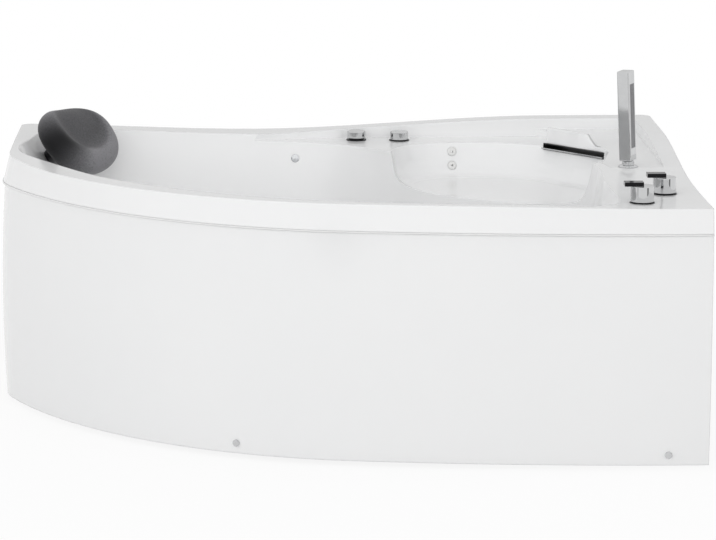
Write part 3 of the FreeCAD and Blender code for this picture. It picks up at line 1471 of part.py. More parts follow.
def headrest():
    """The headrest: a crowned cushion with a dish for the head, on two pegs through the head wall."""
    width, length, thick = float(S.pillow_width), float(S.pillow_length), float(S.pillow_thickness)
    middle = PILLOW_FRAME.Base
    stand = middle.distanceToPoint(wall_point(BASIN, middle, PILLOW_OUT * -1))
    neck = float(S.pillow_neck_width) / width
    sections = (
        (-2 * stand, neck), (-0.5 * stand, neck), (0.0, 0.84), (0.3 * thick, 1.0), (0.6 * thick, 0.97),
        (0.85 * thick, 0.83), (thick, 0.54),
    )
    rings = []
    for height, share in sections:
        across, tall = width * share, length * share
        rings.append(rounded_ring(across, tall, 0.42 * min(across, tall), height))
    cushion = Part.makeLoft(rings, True, False)
    ball = 1.1 * width / 2
    dish = Part.makeSphere(ball, Vector(0, length * 0.22, thick + ball - float(S.pillow_dish)))
    cushion = cushion.cut(dish)
    room = BASIN.copy()
    room.Placement = PILLOW_FRAME.inverse()
    room.translate(Vector(0, 0, S.seat_gap))
    cushion = cushion.common(room)
    solid("headrest_pillow", cushion, PILLOW_FRAME)
    cushion.Placement = PILLOW_FRAME
    pegs = []
    for side in (-1, 1):
        peg = Part.makeCylinder(S.peg_radius, S.peg_depth + stand, Vector(0, 0, -S.peg_depth))
        peg.Placement = peg_frame(side)
        pegs.append(peg.cut(cushion).Solids[0])
    solid("headrest_pegs", Part.makeCompound(pegs))


def control_box():
    """The control box on the right-hand post, with a cable gland below."""
    width, depth, tall = S.box_width, S.box_depth, S.box_tall
    x = RIGHT - POST_PLACES[-1]
    face = RAIL_Y - HALF_TUBE
    case = box("box_case", width, depth, tall, (x - width / 2, face - depth, S.box_lift))
    low = S.box_lift - S.gland_length
    gland = rod("gland_body", S.gland_radius, S.gland_length, (x, face - depth / 2, low))
    below = (x, face - depth / 2, low - S.gland_length * 2)
    bore = rod("gland_bore", S.gland_radius - 4, S.gland_length * 3, below)
    group("control_box", [case, cut("gland_cut", gland, [bore])])


for build in (
    apron_panel, apron_fixings, underframe, feet, jets, small_wall_fittings, suction, drain, overflow, pump,
    air_controls, taps, hand_shower, waterfall, headrest, control_box,
):
    build()


def check_and_write():
    """Stop on a failed object or an empty or broken shape, then write each sub-part."""
    doc.recompute()
    for item in doc.Objects:
        if "Invalid" in item.State or "Error" in item.State:
            raise RuntimeError(f"{item.Label} failed: {item.State}")
    for piece in PARTS:
        if piece.Shape.isNull() or not piece.Shape.isValid() or not piece.Shape.Solids:
            raise RuntimeError(f"{piece.Label} has no valid shape")
    os.makedirs("parts", exist_ok=True)
    for piece in PARTS:
        piece.Shape.exportStep(f"parts/{piece.Label}.step")
    print(f"{len(PARTS)} sub-parts written")


check_and_write()
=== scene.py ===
import json
import math

import bpy
import numpy as np
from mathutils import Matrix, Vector


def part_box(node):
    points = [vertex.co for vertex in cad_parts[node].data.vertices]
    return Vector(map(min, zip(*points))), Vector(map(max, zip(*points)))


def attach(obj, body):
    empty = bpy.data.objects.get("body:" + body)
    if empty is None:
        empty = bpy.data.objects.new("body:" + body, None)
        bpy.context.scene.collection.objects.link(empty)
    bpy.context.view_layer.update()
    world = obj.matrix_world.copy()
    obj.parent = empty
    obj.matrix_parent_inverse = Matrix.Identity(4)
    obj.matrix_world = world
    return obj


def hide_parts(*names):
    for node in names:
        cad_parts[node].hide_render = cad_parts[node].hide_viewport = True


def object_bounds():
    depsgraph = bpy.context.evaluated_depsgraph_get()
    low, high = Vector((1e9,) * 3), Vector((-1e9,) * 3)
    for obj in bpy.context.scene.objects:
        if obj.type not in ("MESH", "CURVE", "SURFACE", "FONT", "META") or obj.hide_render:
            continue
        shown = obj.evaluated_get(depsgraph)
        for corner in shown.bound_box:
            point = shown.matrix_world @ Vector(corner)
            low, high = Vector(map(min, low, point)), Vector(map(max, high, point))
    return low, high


# Looks of a jetted corner bath: white acrylic, chrome fittings, a dark headrest and the works under the rim.

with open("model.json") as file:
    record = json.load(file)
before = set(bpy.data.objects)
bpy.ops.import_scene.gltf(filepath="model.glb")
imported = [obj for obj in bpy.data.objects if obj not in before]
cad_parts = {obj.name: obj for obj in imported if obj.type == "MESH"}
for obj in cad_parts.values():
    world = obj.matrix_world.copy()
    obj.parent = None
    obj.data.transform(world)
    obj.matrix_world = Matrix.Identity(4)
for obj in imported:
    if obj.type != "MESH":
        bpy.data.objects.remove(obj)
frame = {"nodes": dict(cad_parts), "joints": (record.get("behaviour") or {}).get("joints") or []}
CAD_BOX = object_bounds()
NODES = frame["nodes"]


# Finishes


class Socket:
    """A shader value that Python maths can be done on; each operation adds one Math node."""

    def __init__(self, finish, socket):
        self.finish = finish
        self.socket = socket

    def maths(self, operation, first, second):
        return self.finish.node("ShaderNodeMath", {"operation": operation}, {0: first, 1: second})

    def __add__(self, other):
        return self.maths("ADD", self, other)

    __radd__ = __add__

    def __mul__(self, other):
        return self.maths("MULTIPLY", self, other)

    __rmul__ = __mul__

    def above(self, other):
        return self.maths("GREATER_THAN", self, other)

    def below(self, other):
        return self.maths("LESS_THAN", self, other)


class Finish:
    """A procedural look: the node tree of a new material, or a tree that is handed in, as the world's is."""

    def __init__(self, name, tree=None):
        self.material = None
        if tree is None:
            self.material = bpy.data.materials.new(name)
            self.material.use_nodes = True
            tree = self.material.node_tree
        self.tree = tree
        self.tree.nodes.clear()

    def node(self, kind, settings=None, inputs=None, output=0):
        """Add a node: its settings first, then its sockets' values or links; gives one of its outputs."""
        made = self.tree.nodes.new(kind)
        for name, value in (settings or {}).items():
            setattr(made, name, value)
        for name, value in (inputs or {}).items():
            if isinstance(value, Socket):
                self.tree.links.new(value.socket, made.inputs[name])
            else:
                made.inputs[name].default_value = value
        return Socket(self, made.outputs[output]) if made.outputs else None

    def place(self):
        """The point on the piece, in metres."""
        return self.node("ShaderNodeTexCoord", output="Object")

    def height(self):
        """The point's height over the floor, in metres."""
        return self.node("ShaderNodeSeparateXYZ", inputs={0: self.place()}, output="Z")

    def noise(self, scale, detail=4.0, roughness=0.5, stretch=(1.0, 1.0, 1.0)):
        """Noise from 0 to 1 with that many lumps in a metre, stretched by a factor along each axis."""
        spot = self.node("ShaderNodeMapping", inputs={"Vector": self.place(), "Scale": stretch})
        return self.node(
            "ShaderNodeTexNoise",
            inputs={"Vector": spot, "Scale": scale, "Detail": detail, "Roughness": roughness},
        )

    def tint(self, share, dark, light):
        """A colour between two, by a share from 0 to 1."""
        return self.node(
            "ShaderNodeMix", {"data_type": "RGBA"},
            {"Factor": share, 6: (*dark, 1.0), 7: (*light, 1.0)}, output=2,
        )

    def bump(self, height, distance, strength, normal=None):
        """A surface normal from a height map of a depth in metres."""
        inputs = {"Height": height, "Distance": distance, "Strength": strength}
        if normal is not None:
            inputs["Normal"] = normal
        return self.node("ShaderNodeBump", inputs=inputs)

    def round_edges(self, radius):
        """The normal of the same surface with its edges rounded."""
        return self.node("ShaderNodeBevel", {"samples": 8}, {"Radius": radius})

    def done(self, **sockets):
        """Close the tree with a Principled shader; socket names use _ for a space."""
        inputs = {name.replace("_", " "): value for name, value in sockets.items()}
        shader = self.node("ShaderNodeBsdfPrincipled", inputs=inputs)
        self.node("ShaderNodeOutputMaterial", inputs={"Surface": shader})
        return self.material


def white_acrylic():
    """Polished cast acrylic: faint tone drift, slight ripple from the vacuum forming, softened edges."""
    skin = Finish("white_acrylic")
    drift = skin.noise(2.2, detail=3.0)
    ripple = skin.noise(55.0, detail=2.0)
    haze = skin.noise(140.0, detail=5.0, roughness=0.6)
    normal = skin.bump(ripple, 0.00012, strength=0.5, normal=skin.round_edges(0.004))
    return skin.done(
        Base_Color=skin.tint(drift, (0.84, 0.845, 0.85), (0.88, 0.88, 0.88)),
        Roughness=haze * 0.08 + 0.10,
        Normal=normal,
        Specular_IOR_Level=0.5,
        Coat_Weight=0.35,
        Coat_Roughness=0.04,
    )


def wipe_marks(skin):
    """Fine upright wipe marks on chrome, and the normal that they give."""
    wipe = skin.noise(220.0, detail=3.0, stretch=(1.0, 1.0, 0.15))
    return wipe, skin.bump(wipe, 0.00002, strength=0.4, normal=skin.round_edges(0.0012))


def chrome_plate(name, dark, light):
    """Chrome plate: fine wipe marks and a little water haze in its gloss."""
    skin = Finish(name)
    wipe, normal = wipe_marks(skin)
    haze = skin.noise(40.0, detail=5.0, roughness=0.6)
    return skin.done(
        Base_Color=skin.tint(haze, dark, light),
        Metallic=1.0,
        Roughness=wipe * 0.05 + haze * 0.05 + 0.02,
        Normal=normal,
    )


def tap_handle_painted_reflection(name, painted_reflection_bottom):
    """A tap handle: bright chrome drum below a level, black chrome lever above it, a painted dark reflection.
    """
    skin = Finish(name)
    wipe, normal = wipe_marks(skin)
    # Painted reflection: black chrome above this height, on the lever
    lever = skin.height().above(painted_reflection_bottom)
    return skin.done(
        Base_Color=skin.tint(lever, (0.58, 0.585, 0.59), (0.016, 0.016, 0.017)),
        Metallic=1.0,
        Roughness=wipe * 0.08 + 0.02,
        Normal=normal,
    )


# Name of the headrest's painted shade on its mesh, from 0 for the darkest skin to 1 for the lightest
PAINTED_SHADE_ATTRIBUTE = "tone"


def headrest_skin_painted_shade():
    """Moulded foam skin: charcoal with a fine pebbled grain, and painted shade that makes it darker in the
    dish and on the flank.
    """
    skin = Finish("headrest_skin_painted_shade")
    pebble = skin.node(
        "ShaderNodeTexVoronoi", {"feature": "SMOOTH_F1"},
        {"Vector": skin.place(), "Scale": 420.0, "Smoothness": 0.6}, output="Distance",
    )
    drift = skin.noise(18.0)
    fleck = skin.noise(260.0, detail=3.0)
    tone = skin.node("ShaderNodeAttribute", {"attribute_name": PAINTED_SHADE_ATTRIBUTE}, output="Fac")
    # Painted shade: the mesh's value makes the dish and the left flank darker and the front lighter; flecks
    # and drift are mixed in
    shade = tone * (fleck * 1.1 + drift * 0.3 + 0.3)
    return skin.done(
        Base_Color=skin.tint(shade, (0.006, 0.006, 0.007), (0.228, 0.226, 0.238)),
        Roughness=drift * 0.14 + 0.50,
        Normal=skin.bump(pebble + fleck * 0.5, 0.0004, strength=0.6),
        Sheen_Weight=0.06,
        Sheen_Roughness=0.5,
        Specular_IOR_Level=0.22,
    )


def moulded_plastic(name, dark, light, gloss):
    """Injection-moulded plastic: fine spark texture, slight flow marks in tone and gloss."""
    skin = Finish(name)
    flow = skin.noise(14.0, roughness=0.6, stretch=(1.0, 1.0, 0.4))
    spark = skin.noise(1500.0, detail=2.0)
    return skin.done(
        Base_Color=skin.tint(flow, dark, light),
        Roughness=flow * 0.12 + gloss,
        Normal=skin.bump(spark, 0.00006, strength=0.5, normal=skin.round_edges(0.001)),
    )


def powder_coat(name, dark, light):
    """Powder-coated steel: orange peel and a little dust in the colour."""
    skin = Finish(name)
    peel = skin.noise(480.0, detail=3.0)
    dust = skin.noise(9.0, detail=6.0, roughness=0.65)
    return skin.done(
        Base_Color=skin.tint(dust, dark, light),
        Roughness=dust * 0.18 + 0.38,
        Normal=skin.bump(peel, 0.00012, strength=0.6, normal=skin.round_edges(0.0015)),
    )


def zinc_plate():
    """Bright zinc plate: mottled grey with faint yellow bloom, half gloss."""
    skin = Finish("zinc_plate")
    bloom = skin.noise(60.0, detail=5.0, roughness=0.6)
    grain = skin.noise(900.0, detail=3.0)
    return skin.done(
        Base_Color=skin.tint(bloom, (0.48, 0.48, 0.50), (0.68, 0.67, 0.62)),
        Metallic=1.0,
        Roughness=bloom * 0.16 + 0.24,
        Normal=skin.bump(grain, 0.00003, strength=0.5, normal=skin.round_edges(0.0008)),
    )


# Height over the floor where a foot's finish changes from pad to stud, just over the pad's shoulder
FOOT_PAD_TOP = 0.0131


def foot_finish():
    """A levelling foot: black moulded pad below, zinc-plated stud with thread rings above."""
    skin = Finish("foot_finish")
    stud = skin.height().above(FOOT_PAD_TOP)
    bloom = skin.noise(60.0, detail=5.0, roughness=0.6)
    grit = skin.noise(1400.0, detail=2.0)
    rings = skin.node(
        "ShaderNodeTexWave", {"bands_direction": "Z", "wave_profile": "TRI"},
        {"Vector": skin.place(), "Scale": 180.0, "Distortion": 0.0},
    )
    return skin.done(
        Base_Color=skin.tint(stud, (0.025, 0.025, 0.027), (0.60, 0.60, 0.58)),
        Metallic=stud,
        Roughness=bloom * 0.15 + 0.3,
        Normal=skin.bump(rings * stud + grit * 0.08, 0.0005, strength=0.7),
    )


def birch_board():
    """Water-resistant board: long grain along the bath, small dark flecks, a dull surface."""
    skin = Finish("birch_board")
    grain = skin.noise(60.0, detail=6.0, roughness=0.6, stretch=(0.06, 1.0, 1.0))
    fleck = skin.noise(240.0, detail=2.0, stretch=(0.15, 1.0, 1.0))
    return skin.done(
        Base_Color=skin.tint(grain * 0.8 + fleck * 0.2, (0.34, 0.23, 0.13), (0.62, 0.47, 0.31)),
        Roughness=grain * 0.2 + 0.55,
        Normal=skin.bump(grain, 0.0004, strength=0.5, normal=skin.round_edges(0.001)),
    )


# Spray nozzles to a metre, and a nozzle's radius as a share of their spacing
NOZZLES = 190.0
NOZZLE_RADIUS = 0.3


def spray_face():
    """Spray plate of the hand shower: satin grey with rows of small soft nozzles."""
    skin = Finish("spray_face")
    dots = skin.node(
        "ShaderNodeTexVoronoi", {"feature": "F1"},
        {"Vector": skin.place(), "Scale": NOZZLES, "Randomness": 0.0}, output="Distance",
    )
    nozzle = dots.below(NOZZLE_RADIUS)
    haze = skin.noise(50.0)
    return skin.done(
        Base_Color=skin.tint(nozzle, (0.20, 0.20, 0.21), (0.07, 0.07, 0.075)),
        Roughness=haze * 0.15 + 0.35,
        Normal=skin.bump(nozzle, 0.0006, strength=0.6),
    )


def lamp_lens():
    """Underwater lamp: a frosted, half metallic face."""
    skin = Finish("lamp_lens")
    haze = skin.noise(120.0)
    return skin.done(
        Base_Color=skin.tint(haze, (0.62, 0.64, 0.66), (0.85, 0.86, 0.87)),
        Metallic=0.6,
        Roughness=haze * 0.12 + 0.12,
        Normal=skin.bump(haze, 0.00004, strength=0.4, normal=skin.round_edges(0.001)),
    )


def laminated_core():
    """Motor core: thin dark laminations side by side along the shaft."""
    skin = Finish("laminated_core")
    sheets = skin.node(
        "ShaderNodeTexWave", {"bands_direction": "X", "wave_profile": "SIN"},
        {"Vector": skin.place(), "Scale": 260.0},
    )
    soot = skin.noise(35.0, detail=5.0)
    return skin.done(
        Base_Color=skin.tint(soot, (0.12, 0.12, 0.125), (0.24, 0.235, 0.23)),
        Metallic=0.8,
        Roughness=soot * 0.2 + 0.4,
        Normal=skin.bump(sheets, 0.0003, strength=0.6),
    )


def cover(finish, *names):
    """Give CAD nodes a finish."""
    for name in names:
        slots = NODES[name].data.materials
        slots.clear()
        slots.append(finish)


# Depth of the black finish under a tap handle's top, a painted dark reflection: just less than the lever, so
# that the drum stays bright
LEVER_PAINTED_REFLECTION_DEPTH = 0.0088
JETS = ("front_1", "front_2", "front_3", "back_1", "back_2", "back_3")
FEET = ("foot_back_left", "foot_back_right", "foot_front_left", "foot_front_middle", "foot_front_right")

cover(white_acrylic(), "tub_shell", "apron_panel")
cover(
    chrome_plate("chrome", (0.52, 0.525, 0.53), (0.63, 0.635, 0.64)),
    "air_button_cap", "air_regulator_knob", "apron_screw_caps", "drain_flange", "drain_plug", "hand_shower",
    "shower_socket", "overflow_body", "overflow_knob", "spout_lip", "suction_grille", "jet_bodies",
)
# Painted shade: the knob housings and tap valves are black chrome where a dark shadow band lies at their base
cover(
    chrome_plate("painted_shade_black_chrome", (0.014, 0.014, 0.015), (0.030, 0.030, 0.032)),
    "air_button_housing", "air_regulator_housing", "back_tap_valve", "front_tap_valve",
)
# Each tap handle gets a black lever top, a painted dark reflection
for tap in ("front_tap", "back_tap"):
    handle = f"{tap}_handle"
    cover(tap_handle_painted_reflection(f"{tap}_chrome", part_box(handle)[1][2] - LEVER_PAINTED_REFLECTION_DEPTH), handle)
cover(lamp_lens(), "bath_lamp")
cover(spray_face(), "shower_spray_plate")
cover(
    moulded_plastic("black_plastic", (0.010, 0.010, 0.011), (0.022, 0.022, 0.023), gloss=0.28),
    "waterfall_spout", "headrest_pegs", "fan_cover", "cooling_fan",
)
cover(
    moulded_plastic("grey_plastic", (0.20, 0.205, 0.215), (0.30, 0.305, 0.315), gloss=0.36),
    "drain_trap", "control_box", "pump_volute", "impeller", "suction_body",
)
cover(
    moulded_plastic("white_pipe", (0.70, 0.70, 0.69), (0.82, 0.82, 0.81), gloss=0.26),
    "jet_hoses", "ring_main", "suction_pipe", "spout_feed_pipe", "seat_jets",
    *(f"jet_nozzle_{jet}" for jet in JETS),
)
cover(
    powder_coat("grey_coat", (0.13, 0.135, 0.14), (0.19, 0.195, 0.20)),
    "frame_cross_bars", "frame_posts", "frame_rails", "pump_base",
)
cover(powder_coat("motor_coat", (0.030, 0.042, 0.060), (0.050, 0.064, 0.085)), "motor_housing")
cover(zinc_plate(), "apron_brackets", "apron_screws", "foot_lock_nuts", "motor_bearings", "rotor_shaft")
cover(foot_finish(), *FEET)
cover(laminated_core(), "motor_stator")
cover(birch_board(), "base_board")


# Shapes


def grid_piece(name, points, finish):
    """A closed mesh from a grid of points: each row is a ring, and the first and last rings are capped."""
    rows, columns = points.shape[:2]
    index = np.arange(rows * columns).reshape(rows, columns)
    after = np.roll(index, -1, axis=1)
    quads = np.stack([index[:-1], after[:-1], after[1:], index[1:]], axis=-1).reshape(-1, 4)
    caps = [index[0, ::-1].tolist(), index[-1].tolist()]
    mesh = bpy.data.meshes.new(name)
    mesh.from_pydata(points.reshape(-1, 3).tolist(), [], quads.tolist() + caps)
    mesh.shade_smooth()
    mesh.materials.append(finish)
    piece = bpy.data.objects.new(name, mesh)
    bpy.context.scene.collection.objects.link(piece)
    return piece


def node_points(name):
    """Vertices of a CAD node as an array."""
    mesh = NODES[name].data
    values = np.zeros(len(mesh.vertices) * 3)
    mesh.vertices.foreach_get("co", values)
    return values.reshape(-1, 3)


def unit(vector):
    """The same direction at length 1."""
    return vector / np.linalg.norm(vector)


def joint_axis(name):
    """Direction of a joint of the CAD model."""
    axes = {joint["name"]: joint["axis"] for joint in frame["joints"]}
    return unit(np.array(axes[name], float))


def signed_power(value, power):
    """A power that keeps the sign."""
    return np.sign(value) * np.abs(value) ** power


# Keeps a curve's last point inside its last span
SPAN_MARGIN = 1e-6


def smooth_curve(corners, count):
    """A uniform cubic B-spline that follows a list of corners and starts and ends on the first and last."""
    corners = np.array([corners[0]] * 2 + list(corners) + [corners[-1]] * 2, float)
    place = np.linspace(0.0, len(corners) - 3 - SPAN_MARGIN, count)
    first = place.astype(int)
    t = (place - first)[:, None]
    weights = ((1 - t) ** 3, 3 * t ** 3 - 6 * t ** 2 + 4, -3 * t ** 3 + 3 * t ** 2 + 3 * t + 1, t ** 3)
    return sum(weight * corners[first + step] for step, weight in enumerate(weights)) / 6.0


# Headrest

# Cushion in its own level, upward and outward directions: (share of the half width, height) of its profile,
# where height 0 is the plane of the widest part's back and 1 is the crest
CUSHION_THICKNESS = 0.060
CUSHION_PROFILE = (
    (0.0, -2.0), (0.44, -2.0), (0.46, -0.5), (0.62, -0.28), (0.93, -0.06), (1.06, 0.22), (1.04, 0.60),
    (0.92, 0.92), (0.62, 1.10), (0.0, 1.08),
)
CUSHION_ROWS = 120
CUSHION_COLUMNS = 160
# Power of the rings' superellipse
CUSHION_SQUARENESS = 0.86
# Shares of the half width below which a ring counts as neck and is all neck, and how much flatter the neck is
NECK_SHARE = 0.66
NECK_WIDTH = 0.45
NECK_FLATNESS = 0.5
# Part of the CAD solid's depth that counts as its back
BACK_SHARE = 0.2
# The dish: the way it faces, its half sizes, middle, depth and painted shade, and its edge's powers in depth
# and painted shade
DISH_FACING = (-0.10, 0.30, 0.95)
DISH_HALF_WIDTH = 0.082
DISH_HALF_HEIGHT = 0.072
DISH_MIDDLE = (0.018, 0.016)
DISH_DEPTH = 0.026
DISH_PAINTED_SHADE = 0.33
DISH_EDGE = 8
DISH_PAINTED_SHADE_EDGE = 24
# The left flank: its lean per metre of height, and how far it is tucked in
FLANK_LEAN = 0.2
FLANK_TUCK = 0.008


def headrest_axes():
    """The headrest's level, upward and outward directions as rows; outward is the way it pulls off."""
    outward = joint_axis("headrest_pull_off")
    level = unit(np.cross((0.0, 0.0, 1.0), outward))
    return np.stack([level, np.cross(outward, level), outward])


def wall_terms(across, up):
    """Terms of a second-degree surface."""
    return np.stack([np.ones_like(across), across, up, across ** 2, across * up, up ** 2], axis=-1)


def wall_behind(local):
    """The curved wall behind the neck: a second-degree surface fitted to the back of the CAD solid."""
    back = local[local[:, 2] < local[:, 2].min() + BACK_SHARE * np.ptp(local[:, 2])]
    return np.linalg.lstsq(wall_terms(back[:, 0], back[:, 1]), back[:, 2], rcond=None)[0]


def cushion_rings(half):
    """The cushion's body before the dish, how much each ring is neck, and how far each column turns left.

    Each ring is a superellipse, as wide and as long as the CAD solid times the profile's share, at the
    profile's height, and flatter on the neck. Its left side is tucked in and leans outwards from foot to
    head.
    """
    share, height = smooth_curve(CUSHION_PROFILE, CUSHION_ROWS).T[:, 1:-1, None]
    around = np.linspace(0.0, 2 * math.pi, CUSHION_COLUMNS, endpoint=False)
    neck = np.where(height < 0.0, np.clip((NECK_SHARE - share) / (NECK_SHARE - NECK_WIDTH), 0.0, 1.0), 0.0)
    left = np.clip(-np.cos(around), 0.0, 1.0)
    up = half[1] * share * signed_power(np.sin(around), CUSHION_SQUARENESS) * (1.0 - NECK_FLATNESS * neck)
    across = half[0] * share * signed_power(np.cos(around), CUSHION_SQUARENESS)
    across = across + left * (FLANK_TUCK - FLANK_LEAN * up)
    out = CUSHION_THICKNESS * height * np.ones_like(around)
    return np.stack([across, up, out], axis=-1), neck, left


def pressed_dish(body, left):
    """The body with its dish, and the painted shade of its skin.

    The dish is pressed in along the direction that the head comes from. Its depth falls away as one over one
    plus the eighth power of the distance from its middle, measured in dish half sizes. The skin's painted
    shade is full, the lightest, in front, and falls to nothing, the darkest, with the squared cosine of the
    turn towards the left, and to the dish's inside the dish.
    """
    facing = unit(np.array(DISH_FACING))
    side = unit(np.cross((0.0, 1.0, 0.0), facing))
    rise = np.cross(facing, side)
    across = (body @ side - DISH_MIDDLE[0]) / DISH_HALF_WIDTH
    up = (body @ rise - DISH_MIDDLE[1]) / DISH_HALF_HEIGHT
    away = np.hypot(across, up)
    front = np.clip(body @ facing / CUSHION_THICKNESS, 0.0, 1.0)
    press = DISH_DEPTH * front / (1.0 + away ** DISH_EDGE)
    dish = front / (1.0 + away ** DISH_PAINTED_SHADE_EDGE)
    # Painted shade of the skin: lightest in front, darkest on the left flank, the dish's level inside the
    # dish
    tone = (1.0 - left ** 2) * (1.0 - dish) + DISH_PAINTED_SHADE * dish
    return body - press[..., None] * facing, tone


def headrest_cushion():
    """The moulded cushion in the CAD solid's place, on a neck that stops at the curved wall behind it."""
    axes = headrest_axes()
    local = node_points("headrest_pillow") @ axes.T
    low, high = local.min(axis=0), local.max(axis=0)
    middle = (low + high) / 2
    body, neck, left = cushion_rings((high - low) / 2)
    body, tone = pressed_dish(body, left)
    body = body + (middle[0], middle[1], high[2] - CUSHION_THICKNESS)
    wall = wall_terms(body[..., 0], body[..., 1]) @ wall_behind(local)
    body[..., 2] = np.where(neck > 0.0, np.maximum(body[..., 2], wall), body[..., 2])
    cushion = grid_piece("headrest_cushion", body @ axes, headrest_skin_painted_shade())
    # The skin's painted shade is stored on the mesh's points
    shade = cushion.data.attributes.new(PAINTED_SHADE_ATTRIBUTE, "FLOAT", "POINT")
    shade.data.foreach_set("value", tone.ravel().astype(np.float32))
    smooth = cushion.modifiers.new("smooth", "SUBSURF")
    smooth.levels = 1
    smooth.render_levels = 1
    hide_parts("headrest_pillow")
    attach(cushion, "headrest")


headrest_cushion()


# Seal between the apron and the lip

# The seal's clearance to the apron, its depth and height, and how far its middle is over the apron's top edge
SEAL_CLEARANCE = 0.0002
SEAL_DEPTH = 0.0054
SEAL_HEIGHT = 0.0028
SEAL_MIDDLE = 0.0004
SEAL_ROUNDNESS = 0.4
SEAL_STEPS = 240
SEAL_SIDES = 16
# How squarely the outer face looks away from the wall corner at least, the tolerance of its top level, and
# the decimals at which two points of its edge are one
OUTWARD_SHARE = 0.3
LEVEL_TOLERANCE = 1e-4
EDGE_DECIMALS = 6


def apron_top_line(count):
    """The apron's outer top edge as evenly spaced points, in order round the bath's wall corner.

    The edge is where the outward-facing triangles of the apron reach its top level. The points are put in
    order by their angle round the corner, and spaced out by their distance along the line.
    """
    mesh = NODES["apron_panel"].data
    points = node_points("apron_panel")
    triangles = len(mesh.polygons)
    faces = np.zeros(triangles * 3, np.int32)
    normals = np.zeros(triangles * 3)
    mesh.polygons.foreach_get("vertices", faces)
    mesh.polygons.foreach_get("normal", normals)
    faces = faces.reshape(-1, 3)
    normals = normals.reshape(-1, 3)
    corner = np.array(CAD_BOX[1])[:2]
    outward = points[faces].mean(axis=1)[:, :2] - corner
    facing = (normals[:, :2] * outward).sum(axis=1) / np.linalg.norm(outward, axis=1)
    edge = points[np.unique(faces[facing > OUTWARD_SHARE])]
    top = edge[:, 2] > edge[:, 2].max() - LEVEL_TOLERANCE
    edge = np.unique(edge[top].round(EDGE_DECIMALS), axis=0)
    angle = np.arctan2(edge[:, 1] - corner[1], edge[:, 0] - corner[0]) % (2 * math.pi)
    edge = edge[np.argsort(-angle)]
    along = np.append(0.0, np.cumsum(np.linalg.norm(np.diff(edge, axis=0), axis=1)))
    spots = np.linspace(0.0, along[-1], count)
    return np.stack([np.interp(spots, along, edge[:, axis]) for axis in range(3)], axis=-1)


def apron_seal(finish):
    """A white bead under the lip: a rounded rectangle carried along the outer edge of the apron's top."""
    line = apron_top_line(SEAL_STEPS)
    run = np.gradient(line, axis=0)
    run = run / np.linalg.norm(run, axis=1, keepdims=True)
    outward = np.cross((0.0, 0.0, 1.0), run)
    around = np.linspace(0.0, 2 * math.pi, SEAL_SIDES, endpoint=False)
    deep = SEAL_CLEARANCE + SEAL_DEPTH / 2 * (1.0 + signed_power(np.cos(around), SEAL_ROUNDNESS))
    rise = SEAL_MIDDLE + SEAL_HEIGHT / 2 * signed_power(np.sin(around), SEAL_ROUNDNESS)
    points = line[:, None] + deep[None, :, None] * outward[:, None]
    points[..., 2] += rise
    seal = grid_piece("apron_seal", points, finish)
    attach(seal, "tub")


apron_seal(moulded_plastic("white_seal", (0.80, 0.80, 0.80), (0.86, 0.86, 0.86), gloss=0.30))


# Studio

WHITE = (1.0, 1.0, 1.0, 1.0)
FLOOR_REACH = 30.0
# How white the floor looks at the bath, and how much whiter it gets with each metre
FLOOR_WHITE_NEAR = 0.86
FLOOR_WHITE_RISE = 0.06
WORLD_LIGHT = 0.50
# The photo's camera: sensor and lens in millimetres, places in metres, tilt down and turn left in radians
CAMERA_SENSOR = 36.0
CAMERA_LENS = 152.8
CAMERA_REACH = 100.0
CAMERA_PLACE = (-0.1934, -6.9834, 1.7915)
CAMERA_TILT = 0.20491
CAMERA_TURN = -0.03447
BATH_MIDDLE = (0.0, 0.0, 0.4)


def flat_piece(name, corners, finish):
    """A four-cornered sheet of the studio, not part of the bath."""
    mesh = bpy.data.meshes.new(name)
    mesh.from_pydata(corners, [], [(0, 1, 2, 3)])
    mesh.materials.append(finish)
    sheet = bpy.data.objects.new(name, mesh)
    bpy.context.scene.collection.objects.link(sheet)
    return sheet


def white_share(look):
    """1 for rays that show the backdrop: from the camera, in a mirror or through glass."""
    kinds = ("Is Camera Ray", "Is Glossy Ray", "Is Transmission Ray")
    camera, glossy, through = (look.node("ShaderNodeLightPath", output=kind) for kind in kinds)
    return look.node("ShaderNodeClamp", inputs={0: camera + glossy + through})


def studio_floor():
    """A wide pale floor that keeps a soft shadow near the bath and turns white further out."""
    look = Finish("pale_floor")
    tone = look.tint(look.noise(3.0), (0.78, 0.78, 0.78), (0.82, 0.82, 0.82))
    paint = look.node("ShaderNodeBsdfDiffuse", inputs={"Color": tone})
    glow = look.node("ShaderNodeEmission", inputs={"Color": WHITE, "Strength": 1.0})
    away = look.node("ShaderNodeVectorMath", {"operation": "LENGTH"}, {0: look.place()}, output="Value")
    white = look.node("ShaderNodeClamp", inputs={0: away * FLOOR_WHITE_RISE + FLOOR_WHITE_NEAR})
    blend = look.node("ShaderNodeMixShader", inputs={0: white_share(look) * white, 1: paint, 2: glow})
    look.node("ShaderNodeOutputMaterial", inputs={"Surface": blend})
    turns = ((-1, -1), (1, -1), (1, 1), (-1, 1))
    corners = [(across * FLOOR_REACH, along * FLOOR_REACH, 0.0) for across, along in turns]
    flat_piece("floor", corners, look.material)


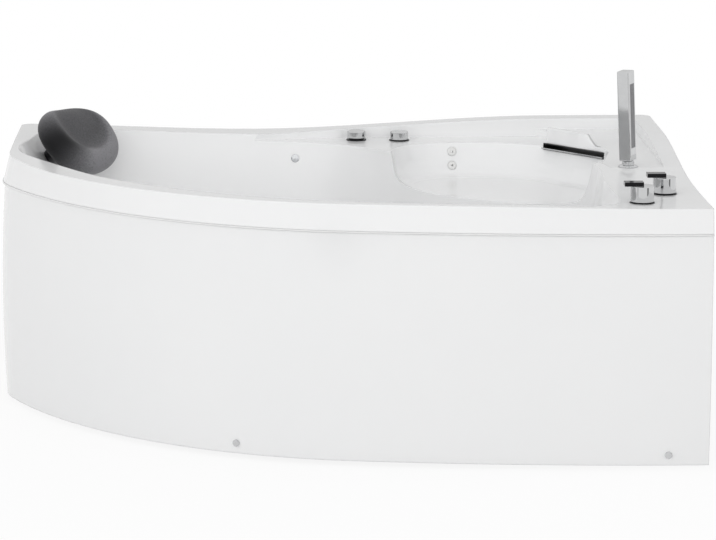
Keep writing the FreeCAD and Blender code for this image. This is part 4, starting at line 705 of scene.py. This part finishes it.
def studio_flag(name, level, start, end, low, high, soft=False):
    """A grey or black card that stands between two floor points and shows only in what the gloss mirrors.

    A soft one fades out from its middle to the nearest edge.
    """
    look = Finish(name)
    cloth = look.node("ShaderNodeEmission", inputs={"Color": WHITE, "Strength": level})
    if soft:
        middle = ((start[0] + end[0]) / 2, (start[1] + end[1]) / 2, (low + high) / 2)
        reach = min(math.dist(start, end), high - low) / 2
        spot = {0: look.place(), 1: middle}
        off = look.node("ShaderNodeVectorMath", {"operation": "DISTANCE"}, spot, output="Value")
        fade = look.node(
            "ShaderNodeMapRange", {"interpolation_type": "SMOOTHSTEP"},
            {"Value": off, "From Min": 0.0, "From Max": reach, "To Min": 0.0, "To Max": 1.0},
        )
        clear = look.node("ShaderNodeBsdfTransparent")
        cloth = look.node("ShaderNodeMixShader", inputs={0: fade, 1: cloth, 2: clear})
    look.node("ShaderNodeOutputMaterial", inputs={"Surface": cloth})
    corners = [(*start, low), (*end, low), (*end, high), (*start, high)]
    flag = flat_piece(name, corners, look.material)
    flag.visible_camera = False
    flag.visible_diffuse = False
    flag.visible_shadow = False


def studio_world():
    """Even light from all round; white where it is seen."""
    world = bpy.data.worlds.new("studio")
    world.use_nodes = True
    bpy.context.scene.world = world
    look = Finish("studio", world.node_tree)
    light = look.node("ShaderNodeBackground", inputs={"Color": WHITE, "Strength": WORLD_LIGHT})
    seen = look.node("ShaderNodeBackground", inputs={"Color": WHITE, "Strength": 1.0})
    blend = look.node("ShaderNodeMixShader", inputs={0: white_share(look), 1: light, 2: seen})
    look.node("ShaderNodeOutputWorld", inputs={"Surface": blend})


def soft_box(name, place, width, height, power):
    """A large soft lamp that looks at the bath."""
    lamp = bpy.data.lights.new(name, "AREA")
    lamp.shape = "RECTANGLE"
    lamp.size = width
    lamp.size_y = height
    lamp.energy = power
    holder = bpy.data.objects.new(name, lamp)
    holder.location = place
    holder.rotation_euler = (Vector(BATH_MIDDLE) - Vector(place)).to_track_quat("-Z", "Y").to_euler()
    holder.visible_camera = False
    holder.visible_glossy = False
    bpy.context.scene.collection.objects.link(holder)


def photo_camera():
    """The photo's view: a long lens a little above the rim, almost square to the front."""
    lens = bpy.data.cameras.new("camera")
    lens.sensor_width = CAMERA_SENSOR
    lens.lens = CAMERA_LENS
    lens.clip_end = CAMERA_REACH
    camera = bpy.data.objects.new("camera", lens)
    camera.location = CAMERA_PLACE
    camera.rotation_euler = (math.pi / 2 - CAMERA_TILT, 0.0, CAMERA_TURN)
    bpy.context.scene.collection.objects.link(camera)
    bpy.context.scene.camera = camera


studio_floor()
studio_world()
studio_flag("flag_left", level=0.0, start=(-0.60, -0.90), end=(0.02, -1.56), low=0.28, high=0.84, soft=True)
studio_flag("flag_right", level=0.0, start=(1.24, -1.56), end=(1.84, -0.90), low=0.16, high=0.76, soft=True)
studio_flag("back_card", level=0.72, start=(-3.5, 2.6), end=(3.5, 2.6), low=0.70, high=2.0)
soft_box("key_light", place=(-2.6, -5.2, 3.0), width=7.0, height=4.4, power=112.0)
soft_box("fill_light", place=(3.4, -4.6, 2.2), width=4.0, height=3.0, power=60.0)
soft_box("side_light", place=(-5.0, -1.4, 1.8), width=3.0, height=2.4, power=36.0)
soft_box("top_light", place=(0.1, -0.45, 3.2), width=2.6, height=1.6, power=15.0)
photo_camera()
bpy.context.scene.view_settings.view_transform = "Standard"
